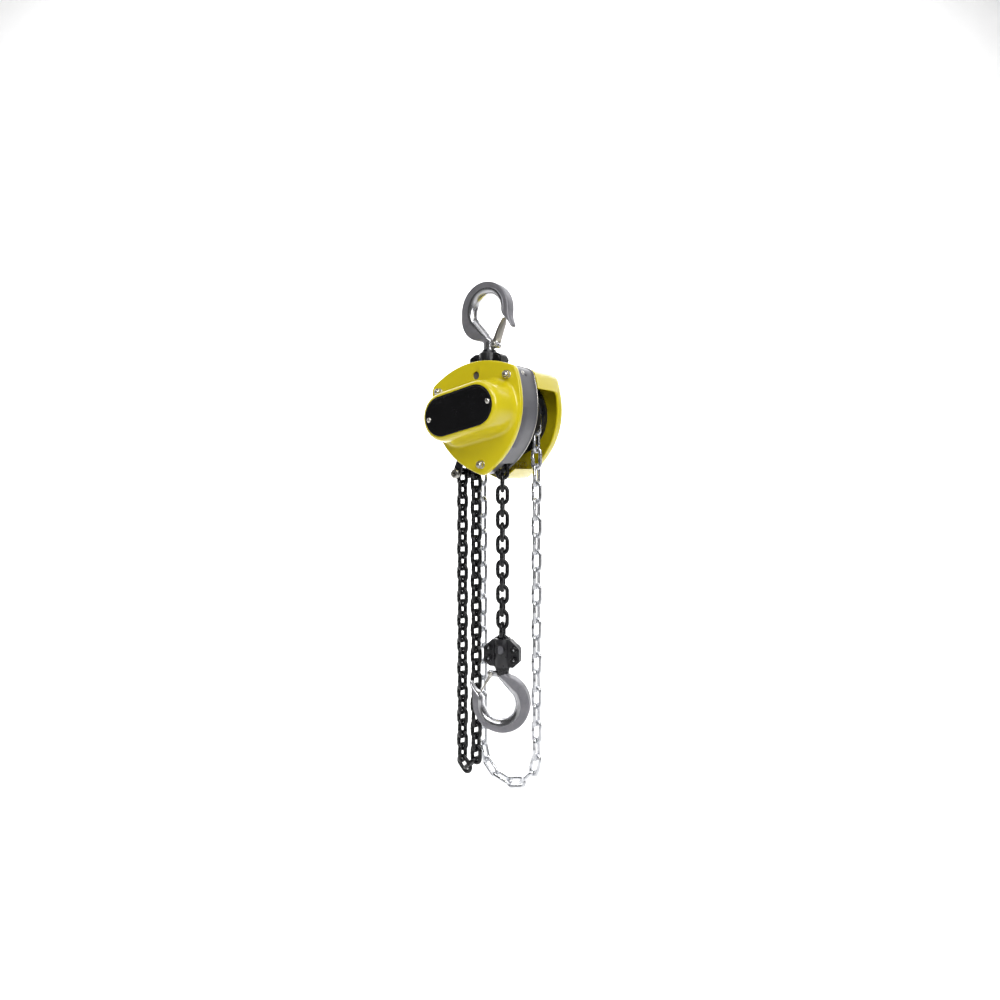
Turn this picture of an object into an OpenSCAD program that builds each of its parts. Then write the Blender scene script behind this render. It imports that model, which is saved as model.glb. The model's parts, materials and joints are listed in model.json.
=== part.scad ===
// Hand chain hoist. The origin is the centre of the top hook's bowl, +Z up,
// and the gear cover faces -Y. All sizes in millimetres.

/* [Housing] */
// Height of the top hook's bowl above the load sheave axis
seat_h = 127; // [126:0.5:132]
// Lean of the housing about the load sheave axis, in degrees
lean = 8; // [0:1:9]
// Radius of the circle that the three stay bolts stand on
bolt_r = 62; // [61:0.5:63]
// Corner radius of the housing outline around each stay bolt
corner_r = 12.5; // [12:0.5:13.5]
// Distance from the sheave axis to the middle of each side
side_r = 61.5; // [60.5:0.5:63]
// Depth of the gear bulge in front of the cover flange
bulge_d = 35.2; // [35:0.2:38]
// Half length between the end centres of the gear bulge
bulge_c = 26; // [26:0.5:28]
// End radius of the gear bulge
bulge_r = 31.5; // [31:0.5:33]
// Slope of the gear bulge across the cover, in degrees
bulge_a = 12; // [8:1:14]

/* [Load chain] */
// Wire diameter of the load chain
load_d = 5; // [4.8:0.1:5]
// Pitch of the load chain
load_p = 15; // [15:0.05:15.1]
// Inside width of a load chain link
load_w = 6.6; // [6.4:0.1:6.8]
// Links in the strand that carries the bottom block
drop_n = 19; // [15:2:21]

/* [Hand chain] */
// Wire diameter of the hand chain
hand_d = 4.4; // [4.2:0.1:4.4]
// Pitch of the hand chain
hand_p = 21.2; // [21:0.1:21.4]
// Inside width of a hand chain link
hand_w = 6; // [5.8:0.1:6.4]
// Links in each straight run of the hand chain
hand_n = 20; // [16:2:24]

/* [Gears] */
// Gear module
gm = 1.35; // [1.3:0.01:1.36]
// Teeth of the two pinions
zp = 10; // [10:1:10]
// Teeth of the slice wheels and the load gear
zw = 30; // [30:1:30]

/* [Hooks] */
// Inside radius of both hook bowls
hook_r = 20; // [19:0.5:20.5]
// Thickness of both hooks
hook_t = 16; // [14:0.5:17]
// Turn of the bottom block about its vertical axis, in degrees
block_turn = 15; // [0:1:20]
// Turn of the bottom hook about its vertical axis, in degrees
hook_turn = 24; // [0:1:40]

/* [Hidden] */
$fn = 64;

// depths along Y, from the gear cover at the front to the wheel cover behind
y_flange = -28;  y_cover_in = -25.5;  y_plate_in = -20.5;
y_base = 14.5;   y_base_out = 18.5;   y_rear = 70;
y_skirt = -22;   y_step = 12;
cover_drop = 3;                     // wheel cover below the body outline
y_bulge = y_flange - bulge_d;
y_wheel = 44;
tips = [35, 145, 270];
pin_z = 44.6;                       // top pin above the sheave axis
pin_x = 0;
tail = [-40.8, -72.5];              // tail pin, X and Z from the sheave axis
anchor_r = 3.2;
block_z = -282;                     // chain pin below the sheave axis
bowl_z = -348;                      // bottom hook bowl below the sheave axis
cd = gm * (zp + zw) / 2;            // centre distance of the gear pairs
pawl_at = [34 * cos(64), 34 * sin(64)];

yellow = [0.93, 0.84, 0.10];
grey = [0.46, 0.46, 0.49];
black = [0.10, 0.10, 0.11];
zinc = [0.78, 0.79, 0.80];
steel = [0.62, 0.62, 0.64];
brass = [0.72, 0.58, 0.32];

// chain arithmetic: half length to the end wire, and to the next link's wire
slack_l = 0.5;
la = (load_p + slack_l + load_d) / 2;
lb = (load_p - slack_l - load_d) / 2;
ha = (hand_p + slack_l + hand_d) / 2;
hb = (hand_p - slack_l - hand_d) / 2;
function solve(a, b, t, lo, hi, n) = n == 0 ? (lo + hi) / 2 :
  let (m = (lo + hi) / 2)
  atan(a / m) + atan(b / sqrt(m * m + a * a - b * b)) > t
    ? solve(a, b, t, m, hi, n - 1) : solve(a, b, t, lo, m, n - 1);
load_rf = solve(la, lb, 45, 8, 40, 40);
load_rv = sqrt(load_rf * load_rf + la * la - lb * lb);
hand_rf = solve(ha, hb, 30, 20, 80, 40);
hand_rv = sqrt(hand_rf * hand_rf + ha * ha - hb * hb);
load_xr = load_rf * cos(22.5) + la * sin(22.5);
load_zr = load_rf * sin(22.5) - la * cos(22.5) - lb;
load_xl = -(load_rv * cos(22.5) + lb * sin(22.5));
load_zl = load_rv * sin(22.5) - lb * cos(22.5) - la;
hand_xr = hand_rf * cos(15) + ha * sin(15);
hand_zr = hand_rf * sin(15) - ha * cos(15) - hb;
hand_xl = -(hand_rv * cos(15) + hb * sin(15));
hand_zl = hand_rv * sin(15) - hb * cos(15) - ha;
hand_u = hand_zr + hand_zl - (hand_n - 1) * hand_p;
// slack loop: two links turn at the bottom, the last one hangs on the tail pin
slack_x = tail[0];
slack_n = 24;
slack_m = 28;
turn_x = (load_xl + slack_x) / 2;
turn_half = (load_xl - slack_x) / 2;
tail_link_z = tail[1] - (load_p + slack_l) / 2 + anchor_r + 0.05;
turn_rf = lb;
turn_rv = la;
turn_z = tail_link_z - (slack_n - 1) * load_p
  - (la + lb * cos(45) - turn_rv * sin(45));
slack_s = (load_zl - (turn_z + lb + la * cos(45) - turn_rf * sin(45)))
  / (slack_m - 1);

module S() translate([0, 0, -seat_h]) children();
module housing() S() rotate([0, -lean, 0]) children();
module geared() S() rotate([0, -bulge_a, 0]) children();
// plane shape in X and Z, from depth y0 to y1
module yext(y0, y1) translate([0, y1, 0]) rotate([90, 0, 0])
  linear_extrude(y1 - y0) children();
module ycyl(x, z, r, y0, y1) translate([x, y1, z]) rotate([90, 0, 0])
  cylinder(r = r, h = y1 - y0);
module ring2(ro, ri) difference() { circle(ro); circle(ri); }
module stadium(c, r) {
  square([2 * c, 2 * r], center = true);
  for (s = [-1, 1]) translate([s * c, 0]) circle(r);
}
module hexnut(af, r, h) linear_extrude(h) difference() {
  circle(r = af / 2 / cos(30), $fn = 6);
  circle(r);
}

// housing outline: round corners at the stay bolts, bowed sides between them
function side_span(i) = (tips[(i + 1) % 3] - tips[i] + 360) % 360;
function bow(i, e, n) = let (h = side_span(i) / 2, L = 2 * bolt_r * sin(h)
    + 2 * corner_r * sin(e), s = side_r - bolt_r * cos(h) - corner_r * cos(e))
  n == 0 ? [e, s] : bow(i, atan(4 * s / L), n - 1);
bows = [for (i = [0:2]) bow(i, 25, 12)];
function tip_pt(i, a, d) = [bolt_r * cos(tips[i]) + (corner_r - d) * cos(a),
  bolt_r * sin(tips[i]) + (corner_r - d) * sin(a)];
function outline(d) = [for (i = [0:2]) let (j = (i + 2) % 3,
    b0 = tips[j] + side_span(j) / 2, b1 = tips[i] + side_span(i) / 2,
    a0 = b0 + bows[j][0] - (b0 > tips[i] ? 360 : 0), a1 = b1 - bows[i][0],
    k = (i + 1) % 3, p = tip_pt(i, a1, d),
    q = tip_pt(k, b1 + bows[i][0], d))
  each concat([for (t = [0:5]) tip_pt(i, a0 + (a1 - a0) * t / 5, d)],
    [for (t = [1:9]) p + (q - p) * t / 10
      + bows[i][1] * 4 * (t / 10) * (1 - t / 10) * [cos(b1), sin(b1)]])];
function bolt(i) = [bolt_r * cos(tips[i]), bolt_r * sin(tips[i])];
// the same spot seen from the leaning housing
function leaned(x, z) = [x * cos(lean) + z * sin(lean),
  -x * sin(lean) + z * cos(lean)];
h_pin = leaned(pin_x, pin_z);

module bolt_holes(r) for (i = [0:2]) translate(bolt(i)) circle(r);

// involute gear outline with a tooth on angle ph
function inv(a) = tan(a) - a * PI / 180;
function gear_pts(z, ph) = let (rp = gm * z / 2, rb = rp * cos(25),
    ra = rp + 0.75 * gm, rd = rp - 1.05 * gm, rs = max(rb, rd),
    t0 = 0.9 * 90 / z,
    hw = function (r) t0 + (inv(25) - inv(acos(min(1, rb / r)))) * 180 / PI)
  [for (i = [0:z - 1]) let (c = ph + 360 * i / z) each [
    [rd, c - hw(rs) - 1], for (t = [0:2]) let (r = rs + (ra - rs) * t / 2)
      [r, c - hw(r)], for (t = [2:-1:0]) let (r = rs + (ra - rs) * t / 2)
      [r, c + hw(r)], [rd, c + hw(rs) + 1]]];
module gear2(z, ph) polygon([for (p = gear_pts(z, ph))
  [p[0] * cos(p[1]), p[0] * sin(p[1])]]);

// one chain link in the X-Z plane, long along Z
module link(p, d, w) {
  hl = (p + slack_l - w) / 2;
  rm = (w + d) / 2;
  for (s = [-1, 1]) translate([s * rm, 0, -hl])
    cylinder(d = d, h = 2 * hl, $fn = 24);
  for (s = [-1, 1]) translate([0, 0, s * hl]) rotate([s * 90, 0, 0])
    rotate_extrude(angle = 180, $fn = 24) translate([rm, 0]) circle(d = d);
}
module flat_link(p, d, w) rotate([0, 0, 90]) link(p, d, w);
module lchain(k) if (k % 2 == 0) link(load_p, load_d, load_w);
  else flat_link(load_p, load_d, load_w);
module hchain(k) if (k % 2 == 0) link(hand_p, hand_d, hand_w);
  else flat_link(hand_p, hand_d, hand_w);

// ---- housing -------------------------------------------------------------
module gear_cover() color(yellow) difference() {
  union() {
    housing() difference() {
      yext(y_flange, y_skirt) polygon(outline(0));
      yext(y_cover_in, y_skirt + 1) polygon(outline(2.5));
      yext(y_flange - 1, y_cover_in + 1) bolt_holes(2.7);
      ycyl(h_pin[0], h_pin[1], 4.9, y_flange - 1, y_cover_in + 1);
    }
    geared() yext(y_bulge, y_cover_in) stadium(bulge_c, bulge_r);
  }
  geared() {
    difference() {
      yext(y_bulge + 2.5, y_cover_in + 1) stadium(bulge_c, bulge_r - 2.5);
      for (s = [-1, 0, 1]) ycyl(s * cd, 0, 9.5, y_bulge, y_bulge + 11);
    }
    for (s = [-1, 0, 1]) ycyl(s * cd, 0, 7, y_bulge + 2.5, y_bulge + 12);
    for (s = [-1, 1]) ycyl(s * 43, 0, 1.3, y_bulge - 1, y_bulge + 3);
  }
}
module rating_plate() color(black) geared() difference() {
  yext(y_bulge - 1, y_bulge) stadium(25, 23.5);
  for (s = [-1, 1]) ycyl(s * 43, 0, 1.3, y_bulge - 2, y_bulge + 1);
}
module rating_plate_screws() color(zinc) geared() for (s = [-1, 1])
  translate([s * 43, y_bulge - 1, 0]) rotate([90, 0, 0]) {
    difference() {
      intersection() {
        cylinder(r = 2.9, h = 1.6);
        translate([0, 0, -2.4]) sphere(r = 4);
      }
      translate([-3, -0.35, 1]) cube([6, 0.7, 2]);
    }
    translate([0, 0, -3.4]) cylinder(r = 1.25, h = 3.4);
  }
module gear_side_plate() color(grey) difference() {
  housing() yext(y_cover_in, y_plate_in) polygon(outline(2.8));
  housing() yext(y_cover_in - 1, y_plate_in + 1) {
    bolt_holes(2.6);
    translate(h_pin) circle(5.03);
  }
  S() ycyl(0, 0, 17, y_cover_in - 1, y_plate_in + 1);
  geared() for (s = [-1, 1])
    ycyl(s * cd, 0, 7, y_cover_in - 1, y_plate_in + 1);
}
module body_shell() color(grey) difference() {
  housing() difference() {
    union() {
      yext(y_plate_in, y_step) polygon(outline(1.5));
      yext(y_step - 1, y_base_out) polygon(outline(8));
    }
    yext(y_plate_in - 1, y_step - 1.5) polygon(outline(4.5));
    yext(y_step - 2, y_base) polygon(outline(10));
  }
  housing() yext(y_base - 1, y_base_out + 1) {
    bolt_holes(2.6);
    translate(h_pin) circle(5.03);
  }
  // the rim stands clear of the stay bolts' shoulders
  housing() for (i = [0:2])
    ycyl(bolt(i)[0], bolt(i)[1], 5.2, y_plate_in - 1, y_base);
  S() {
    ycyl(0, 0, 17, y_base - 1, y_base_out + 1);
    // way in for the yoke, and the two ways out for the load chain
    translate([-28, y_plate_in - 1, 40]) cube([56, y_base - y_plate_in, 60]);
    translate([-51, y_plate_in - 1, -100])
      cube([43, y_base - y_plate_in, 85]);
    translate([10.8, -9, -100]) cube([17.6, 18, 85]);
    // holes for the pawl pins
    for (s = [0, 180]) rotate([0, -s, 0])
      ycyl(pawl_at[0], pawl_at[1], 2.53, y_base - 1, y_base_out + 1);
  }
}
// one stay bolt; the lower one is waisted where the load chain passes
module stay(x, z, w) {
  ycyl(x, z, 2.5, y_flange - 7, w > 0 ? -w : 0);
  ycyl(x, z, 2.5, w > 0 ? w : -0.1, y_rear + 6);
  if (w > 0) ycyl(x, z, 2.2, -w - 1, w + 1);
  difference() {
    ycyl(x, z, 4.4, y_plate_in, w > 0 ? -w : y_base);
    ycyl(x, z, 2, y_plate_in - 1, y_base + 1);
  }
  if (w > 0) difference() {
    ycyl(x, z, 4.4, w, y_base);
    ycyl(x, z, 2, w - 1, y_base + 1);
  }
  difference() {
    ycyl(x, z, 4.4, y_base_out, y_rear - 2);
    ycyl(x, z, 2, y_base_out - 1, y_rear);
  }
}
module stay_bolts() color(zinc) housing() for (i = [0:2])
  stay(bolt(i)[0], bolt(i)[1], i == 2 ? 10 : 0);
module cover_nuts() color(zinc) housing() for (i = [0:2])
  translate([bolt(i)[0], y_flange - 1.2, bolt(i)[1]]) rotate([90, 12 * i, 0])
    hexnut(8, 2.55, 4.5);
module cover_washers() color(zinc) housing() for (i = [0:2])
  translate([bolt(i)[0], y_flange, bolt(i)[1]]) rotate([90, 0, 0])
    linear_extrude(1.2) ring2(4.9, 2.65);
module rear_cover() color(yellow) difference() {
  housing() difference() {
    translate([0, 0, -cover_drop]) yext(y_step, y_rear) polygon(outline(-2));
    translate([0, 0, -cover_drop]) yext(y_step - 1, y_rear - 2)
      polygon(outline(0));
    yext(y_step, y_rear + 1) bolt_holes(2.7);
    // open sides, where the hand chain runs out
    translate([-90, y_step - 1, -70]) cube([180, 44, 90]);
  }
  // notch behind the top yoke
  S() translate([-24, y_step - 1, 40]) cube([48, 4, 60]);
}
module rear_cover_nuts() color(zinc) housing() for (i = [0:2])
  translate([bolt(i)[0], y_rear + 4.5, bolt(i)[1]]) rotate([90, 8 * i, 0])
    hexnut(8, 2.55, 4.5);
module top_pin() color(black) housing()
  ycyl(h_pin[0], h_pin[1], 5, y_cover_in + 0.2, y_base_out - 0.1);
module chain_guide() color(black) S() difference() {
  union() {
    translate([-33, -13, -48]) cube([64, 23.2, 11]);
    translate([-33, 10, -48]) cube([20, 3, 11]);
    for (x = [0, 29.5]) ycyl(x, -42.5, x > 0 ? 2 : 4, y_plate_in, y_base);
    for (y = [-13, 10.5]) yext(y, y + 2.5) {
      polygon([[tail[0] - 5.5, tail[1] + 2.2], [-36, -46], [-33, -37], [-28, -37],
        [-28, -48], [tail[0] + 5.8, tail[1] - 1.2]]);
      translate(tail) circle(6);
    }
  }
  for (x = [load_xl, load_xr]) translate([x - 9.3, -9.3, -50])
    cube([18.6, 18.6, 20]);
  ycyl(tail[0], tail[1], anchor_r + 0.03, -14, 14);
  translate([-7.2, -2, -38.5]) cube([14.4, 4, 2]);
}
module chain_stripper() color(steel) S() yext(-1.9, 1.9)
  polygon([[-7, -38.4], [7, -38.4], [7, -30], [5, -14], [0, -12.5], [-5, -14],
    [-7, -30]]);
module tail_pin() color(zinc) S() difference() {
  union() {
    ycyl(tail[0], tail[1], anchor_r, -13, 18.5);
    ycyl(tail[0], tail[1], 5.2, -17.2, -13);
  }
  translate([tail[0], -15, tail[1]]) rotate([90, 0, 0])
    cylinder(r = 2.6, h = 4, $fn = 6);
}
module tail_pin_nut() color(zinc) S()
  translate([tail[0], 17.6, tail[1]]) rotate([90, 0, 0])
    hexnut(10, anchor_r + 0.03, 4.6);

// ---- gears and shafts ----------------------------------------------------
module sheave_bush_front() color(brass) S()
  yext(y_cover_in, y_plate_in) ring2(16.97, 13.05);
module sheave_bush_rear() color(brass) S()
  yext(y_base, y_base_out) ring2(16.97, 13.05);
module gear_front_bushes() color(brass) geared() for (s = [-1, 0, 1])
  translate([s * cd, 0, 0]) yext(y_bulge + 2.6, y_bulge + 11) ring2(6.97, 4.05);
module gear_rear_bushes() color(brass) geared() for (s = [-1, 1])
  translate([s * cd, 0, 0]) yext(y_cover_in, y_plate_in) ring2(6.97, 4.05);
module load_sheave() color(steel) S() difference() {
  union() {
    ycyl(0, 0, 23.5, -14, 14);
    ycyl(0, 0, 13, -26, 19.3);
    ycyl(0, 0, 9, -38.1, -26);
    ycyl(0, 0, 8.5, -39.8, -38);
  }
  ycyl(0, 0, 5.06, -50, 30);
  // groove for the standing links, four pockets for the lying links
  yext(-load_d / 2 - 0.6, load_d / 2 + 0.6)
    ring2(40, load_rv - load_w / 2 - load_d - 0.5);
  for (k = [0:3]) rotate([0, -22.5 - 90 * k, 0])
    translate([load_rf - load_d / 2 - 0.4, 0, 0]) rotate([90, 0, 90])
      linear_extrude(20) rotate(90)
        stadium((load_p + slack_l - load_w) / 2 + 0.2, load_w / 2 + load_d + 0.4);
  // each pocket also clears its link as it runs off straight
  for (k = [0:3]) rotate([0, -90 * k, 0])
    translate([load_xr - load_d / 2 - 0.4, 0, load_zr - load_p])
      rotate([90, 0, 90]) linear_extrude(20) rotate(90)
        stadium((load_p + slack_l - load_w) / 2 + 0.2, load_w / 2 + load_d + 0.4);
}
module load_gear() color(steel) S() yext(-38, -27) difference() {
  rotate(bulge_a) gear2(zw, 6);
  circle(9.03);
}
module load_gear_circlip() color(black) S() yext(-39.3, -38.2) difference() {
  ring2(11, 8.53);
  translate([0, -6]) square([5, 12], center = true);
}
module drive_shaft() color(steel) S() difference() {
  union() {
    ycyl(0, 0, 5, -51.5, 63.4);
    ycyl(0, 0, 4, -60.2, -51);
    yext(-51, -40) rotate(bulge_a) gear2(zp, 0);
  }
  translate([-10, 61.6, 0]) rotate([0, 90, 0]) cylinder(r = 0.95, h = 20);
}
module slice(s) geared() translate([s * cd, 0, 0]) {
  ycyl(0, 0, 4, -60.2, -20.8);
  yext(-50, -41) gear2(zw, 6);
  ycyl(0, 0, 6.2, -41.5, -38);
  yext(-38.5, -27) gear2(zp, 0);
}
module slice_gear_a() color(steel) slice(1);
module slice_gear_b() color(steel) slice(-1);

// ---- brake and hand wheel ------------------------------------------------
module brake_hub() color(steel) S() {
  yext(20, 23.5) ring2(20, 5.02);
  yext(23, 31.8) ring2(10, 5.02);
}
module friction_disc_inner() color([0.45, 0.32, 0.22]) S()
  yext(23.5, 25.5) ring2(20, 10.2);
module friction_disc_outer() color([0.45, 0.32, 0.22]) S()
  yext(30, 32) ring2(20, 10.2);
module ratchet_wheel() color(steel) S() yext(25.6, 29.9) difference() {
  polygon([for (i = [0:15]) each [
    27 * [cos(22.5 * i), sin(22.5 * i)],
    23.4 * [cos(22.5 * i + 20.5), sin(22.5 * i + 20.5)]]]);
  circle(10.25);
}
module pawl() difference() {
  union() {
    yext(25.8, 29.7) polygon([for (p = [[24.6, 87.2], [27.8, 88.8], [31.5, 82],
      [36.2, 70], [35.2, 66], [31.4, 65.5]]) p[0] * [cos(p[1]), sin(p[1])]]);
    ycyl(pawl_at[0], pawl_at[1], 4.2, 25.8, 29.7);
  }
  ycyl(pawl_at[0], pawl_at[1], 2.55, 20, 35);
}
module pawl_a() color(steel) S() pawl();
module pawl_b() color(steel) S() rotate([0, 180, 0]) pawl();
module pawl_pins() color(zinc) S() for (s = [0, 180]) rotate([0, s, 0]) {
  ycyl(pawl_at[0], pawl_at[1], 2.5, y_base + 0.1, 30.8);
  ycyl(pawl_at[0], pawl_at[1], 3.1, y_base_out, 25.4);
}
module coil(x, z, r, w, y0, n) for (k = [0:n - 1])
  translate([x, y0 + k * w * 1.8, z]) rotate([90, 0, 0])
    rotate_extrude($fn = 32) translate([r, 0]) circle(w, $fn = 16);
module pawl_springs() color(zinc) S() for (s = [0, 180]) rotate([0, s, 0])
  coil(pawl_at[0], pawl_at[1], 4, 0.5, 19.6, 5);
module ratchet_cover() color(grey) S() {
  yext(y_base_out, 31.2) ring2(42.5, 41);
  yext(31, 32.4) ring2(42.5, 21.5);
}
module hand_wheel() color(black) S() difference() {
  union() {
    ycyl(0, 0, 50, y_wheel - 11, y_wheel + 11);
    ycyl(0, 0, 14, 32, y_wheel + 11);
  }
  ycyl(0, 0, 5.02, 30, 60);
  // dished web
  yext(30, y_wheel - 4) ring2(28, 15);
  yext(y_wheel + 4, 60) ring2(28, 15);
  // groove and six pockets for the hand chain
  yext(y_wheel - hand_d / 2 - 0.6, y_wheel + hand_d / 2 + 0.6)
    ring2(70, hand_rv - hand_w / 2 - hand_d - 0.5);
  for (k = [0:5]) rotate([0, -15 - 60 * k, 0])
    translate([hand_rf - hand_d / 2 - 0.4, y_wheel, 0]) rotate([90, 0, 90])
      linear_extrude(30) rotate(90)
        stadium((hand_p + slack_l - hand_w) / 2 + 0.2, hand_w / 2 + hand_d + 0.4);
  for (k = [0:5]) rotate([0, -60 * k, 0])
    translate([hand_xr - hand_d / 2 - 0.4, y_wheel, hand_zr - hand_p])
      rotate([90, 0, 90]) linear_extrude(30) rotate(90)
        stadium((hand_p + slack_l - hand_w) / 2 + 0.2, hand_w / 2 + hand_d + 0.4);
}
module wheel_nut() color(zinc) S() translate([0, 60.4, 0]) rotate([90, 0, 0])
  hexnut(17, 5.03, 5.4);
module wheel_split_pin() color(zinc) S() {
  translate([-8, 61.6, 0]) rotate([0, 90, 0]) cylinder(r = 0.8, h = 14);
  translate([7, 61.6, 0]) rotate([90, 0, 0])
    rotate_extrude($fn = 32) translate([1.6, 0]) circle(0.8, $fn = 16);
}

// ---- top hook and yoke ---------------------------------------------------
module half(front) intersection() {
  children();
  translate([-100, front ? -100.04 : 0.04, -400]) cube([200, 100, 800]);
}
module top_yoke() difference() {
  union() {
    translate([0, 0, 53]) cylinder(r = 12.5, h = 21);
    translate([0, 0, 74]) cylinder(r1 = 12.5, r2 = 11, h = 1.5);
    translate([0, 0, 75]) cylinder(r = 8.7, h = 3.4);
    yext(-7, 7)
      polygon([[-20, 58.5], [20, 58.5], [22, 60.5], [22, 69.5], [20.5, 71.5],
        [16, 73.5], [-16, 73.5], [-20.5, 71.5], [-22, 69.5], [-22, 60.5]]);
    yext(-9.5, 9.5) {
      translate([-10, pin_z]) square([20, 16]);
      translate([0, pin_z]) circle(10);
    }
  }
  translate([0, 0, 60]) cylinder(r = 7.06, h = 30);
  translate([0, 0, 55.8]) cylinder(r = 9.4, h = 6.4);
  ycyl(0, pin_z, 5.05, -20, 20);
  for (x = [-17.3, 17.3]) ycyl(x, 66, 2.55, -20, 20);
}
module top_yoke_front() color(black) S() half(true) top_yoke();
module top_yoke_rear() color(black) S() half(false) top_yoke();
module top_yoke_bolts() color(zinc) S() for (x = [-17.3, 17.3]) {
  ycyl(x, 66, 2.5, -7, 9.5);
  ycyl(x, 66, 4.2, -11, -7);
  translate([x, 11, 66]) rotate([90, 0, 0])
    cylinder(r = 8 / 2 / cos(30), h = 4, $fn = 6);
}
// hook outline about the bowl centre: shank down at x = e, neck ending at
// z = h, tip on the right; heel is the radius of a thickened back
module hook2(e, h, heel) difference() {
  union() {
    translate([-2.6, 0]) circle(r = hook_r + 14.8);
    if (heel > 0) translate([-9.4, -8.9]) circle(heel);
    polygon([[-21, -27], [e - 9, h], [e + 6.6, h], [e + 6.6, h + 0.8], [2, -31],
      [-16.5, -11.3]]);
    polygon([[19, -1], [21.5, -8], [28, -15], [33.5, -23], [35.5, -23.6],
      [36.2, -21], [32.6, -12], [31, -1]]);
  }
  circle(hook_r);
  polygon([[-16.5, -11.3], [2, -31], [e + 6.6, h + 0.8], [e + 6.6, -42],
    [60, -42], [60, -24], [33.5, -23], [28, -15], [21.5, -8], [19, -1],
    [0, 0]]);
}
module hook(lug, e, h, heel, z_nut, r_shank, r_nut) difference() {
  union() {
    yext(-hook_t / 2, hook_t / 2) hook2(e, h, heel);
    yext(-hook_t / 2 + 1.5, hook_t / 2 - 1.5)
      polygon([[19.95, -1.4], [21.5, -8], [28, -15], [33.5, -23], [35.5, -23.6],
        [36.2, -21], [32.6, -12], [31, -1.4]]);
    translate([e, 0, z_nut]) cylinder(r = r_shank, h = h + 1.5 - z_nut);
    translate([e, 0, z_nut]) cylinder(r = r_nut, h = 6);
    yext(-2.2, 2.2) {
      translate(lug) circle(4);
      polygon([[0, lug[1] - 4], [lug[0], lug[1] - 4], [lug[0], lug[1] + 4],
        [0, lug[1] + 2]]);
    }
  }
  ycyl(lug[0], lug[1], 2.02, -5, 5);
}
latch_tip = [22.6, -10.8];
top_lug = [10.8, -43];
low_lug = [11, -34.5];
low_e = -3.5;                        // bottom hook: shank beside the bowl centre
module latch(lug) {
  d = latch_tip - lug;
  a = atan2(d[1], d[0]);
  l = norm(d);
  difference() {
    union() {
      yext(-6.2, 6.2) translate(lug) rotate(a)
        translate([3, -1.1]) square([l - 3, 2.2]);
      for (y = [-6.2, 4.7]) yext(y, y + 1.5) translate(lug) {
        circle(3.6);
        rotate(a) polygon([[0, -3.6], [l - 8, -1.1], [l - 8, 1.1], [0, 3.6]]);
      }
    }
    ycyl(lug[0], lug[1], 2.06, -10, 10);
    yext(-4.7, 4.7) translate(lug) rotate(a) square([17, 20], center = true);
  }
}
module latch_pin(lug) {
  ycyl(lug[0], lug[1], 2, -6.6, 6.6);
  for (y = [-7.6, 6.6]) ycyl(lug[0], lug[1], 3, y, y + 1);
}
module latch_spring(lug) for (y = [-4, 3.1]) coil(lug[0], lug[1], 3, 0.5, y, 2);
module top_hook() color(zinc) hook(top_lug, 0, -35.8, 28, -71, 7, 9.2);
module top_latch() color(steel) latch(top_lug);
module top_latch_pin() color(zinc) latch_pin(top_lug);
module top_latch_spring() color(zinc) latch_spring(top_lug);

// ---- chains --------------------------------------------------------------
function twist(k) = k < 2 ? 0 : k < 4 ? 32 * (k - 1) / 3
  : 32 - (32 - block_turn) * (k - 4) / 14;
module load_chain_drop() color(black) S() for (k = [0:drop_n - 1])
  translate([load_xr, 0, load_zr - load_p * k]) rotate([0, 0, twist(k)])
    lchain(k);
module load_chain_slack() color(black) S() {
  for (k = [2:slack_m - 1])
    translate([load_xl, 0, load_zl - slack_s * k]) lchain(k + 1);
  for (k = [0:slack_n - 1])
    translate([slack_x, 0, tail_link_z - load_p * k]) lchain(k);
  translate([turn_x, 0, turn_z]) {
    rotate([0, 45, 0]) translate([turn_rf, 0, 0]) lchain(1);
    rotate([0, 135, 0]) translate([turn_rv, 0, 0]) lchain(0);
  }
}
// the links on the sheave, with the two that run off it on the slack side
module load_chain_wrap() color(black) S() {
  for (k = [0:3]) rotate([0, -22.5 - 45 * k, 0])
    translate([k % 2 == 0 ? load_rf : load_rv, 0, 0]) lchain(k + 1);
  for (k = [0:1])
    translate([load_xl, 0, load_zl - slack_s * k]) lchain(k + 1);
}
module hand_half() for (k = [0:5]) rotate([0, -15 - 30 * k, 0])
  translate([k % 2 == 0 ? hand_rf : hand_rv, 0, 0]) hchain(k + 1);
module hand_runs(k0, k1) for (k = [k0:k1]) {
  translate([hand_xr, 0, hand_zr - hand_p * k]) hchain(k);
  translate([hand_xl, 0, hand_zl - hand_p * k]) hchain(k + 1);
}
module hand_chain() color(zinc) S() translate([0, y_wheel, 0]) {
  hand_runs(2, hand_n - 1);
  translate([0, 0, hand_u]) rotate([0, 180, 0]) hand_half();
}
// the links on the hand wheel, with the first two of each run beside it
module hand_chain_wrap() color(zinc) S() translate([0, y_wheel, 0]) {
  hand_half();
  hand_runs(0, 1);
}

// ---- bottom block --------------------------------------------------------
module block() S() translate([load_xr, 0, 0]) rotate([0, 0, block_turn])
  children();
block_bolts = [for (x = [-16, 16], z = [-282, -294.5]) [x, z]];
module bottom_yoke() difference() {
  union() {
    translate([0, 0, -304.5]) cylinder(r = 10.25, h = 34.5);
    yext(-5, 5) {
      polygon([[-22.5, -297], [-22.5, -281.5], [-11.5, -271.5], [11.5, -271.5],
        [22.5, -281.5], [22.5, -297], [15, -304], [-15, -304]]);
    }
    ycyl(0, block_z, 6, -12, 12);
  }
  translate([-8.9, -3.1, -291.4]) cube([17.8, 6.2, 30]);
  translate([-3.2, -8.9, -277]) cube([6.4, 17.8, 20]);
  ycyl(0, block_z, anchor_r + 0.03, -20, 20);
  translate([0, 0, -310]) cylinder(r = 7.06, h = 12);
  translate([0, 0, -300.9]) cylinder(r = 8.4, h = 6.8);
  for (b = block_bolts) ycyl(b[0], b[1], 2.55, -20, 20);
}
module bottom_yoke_front() color(black) block() half(true) bottom_yoke();
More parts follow.
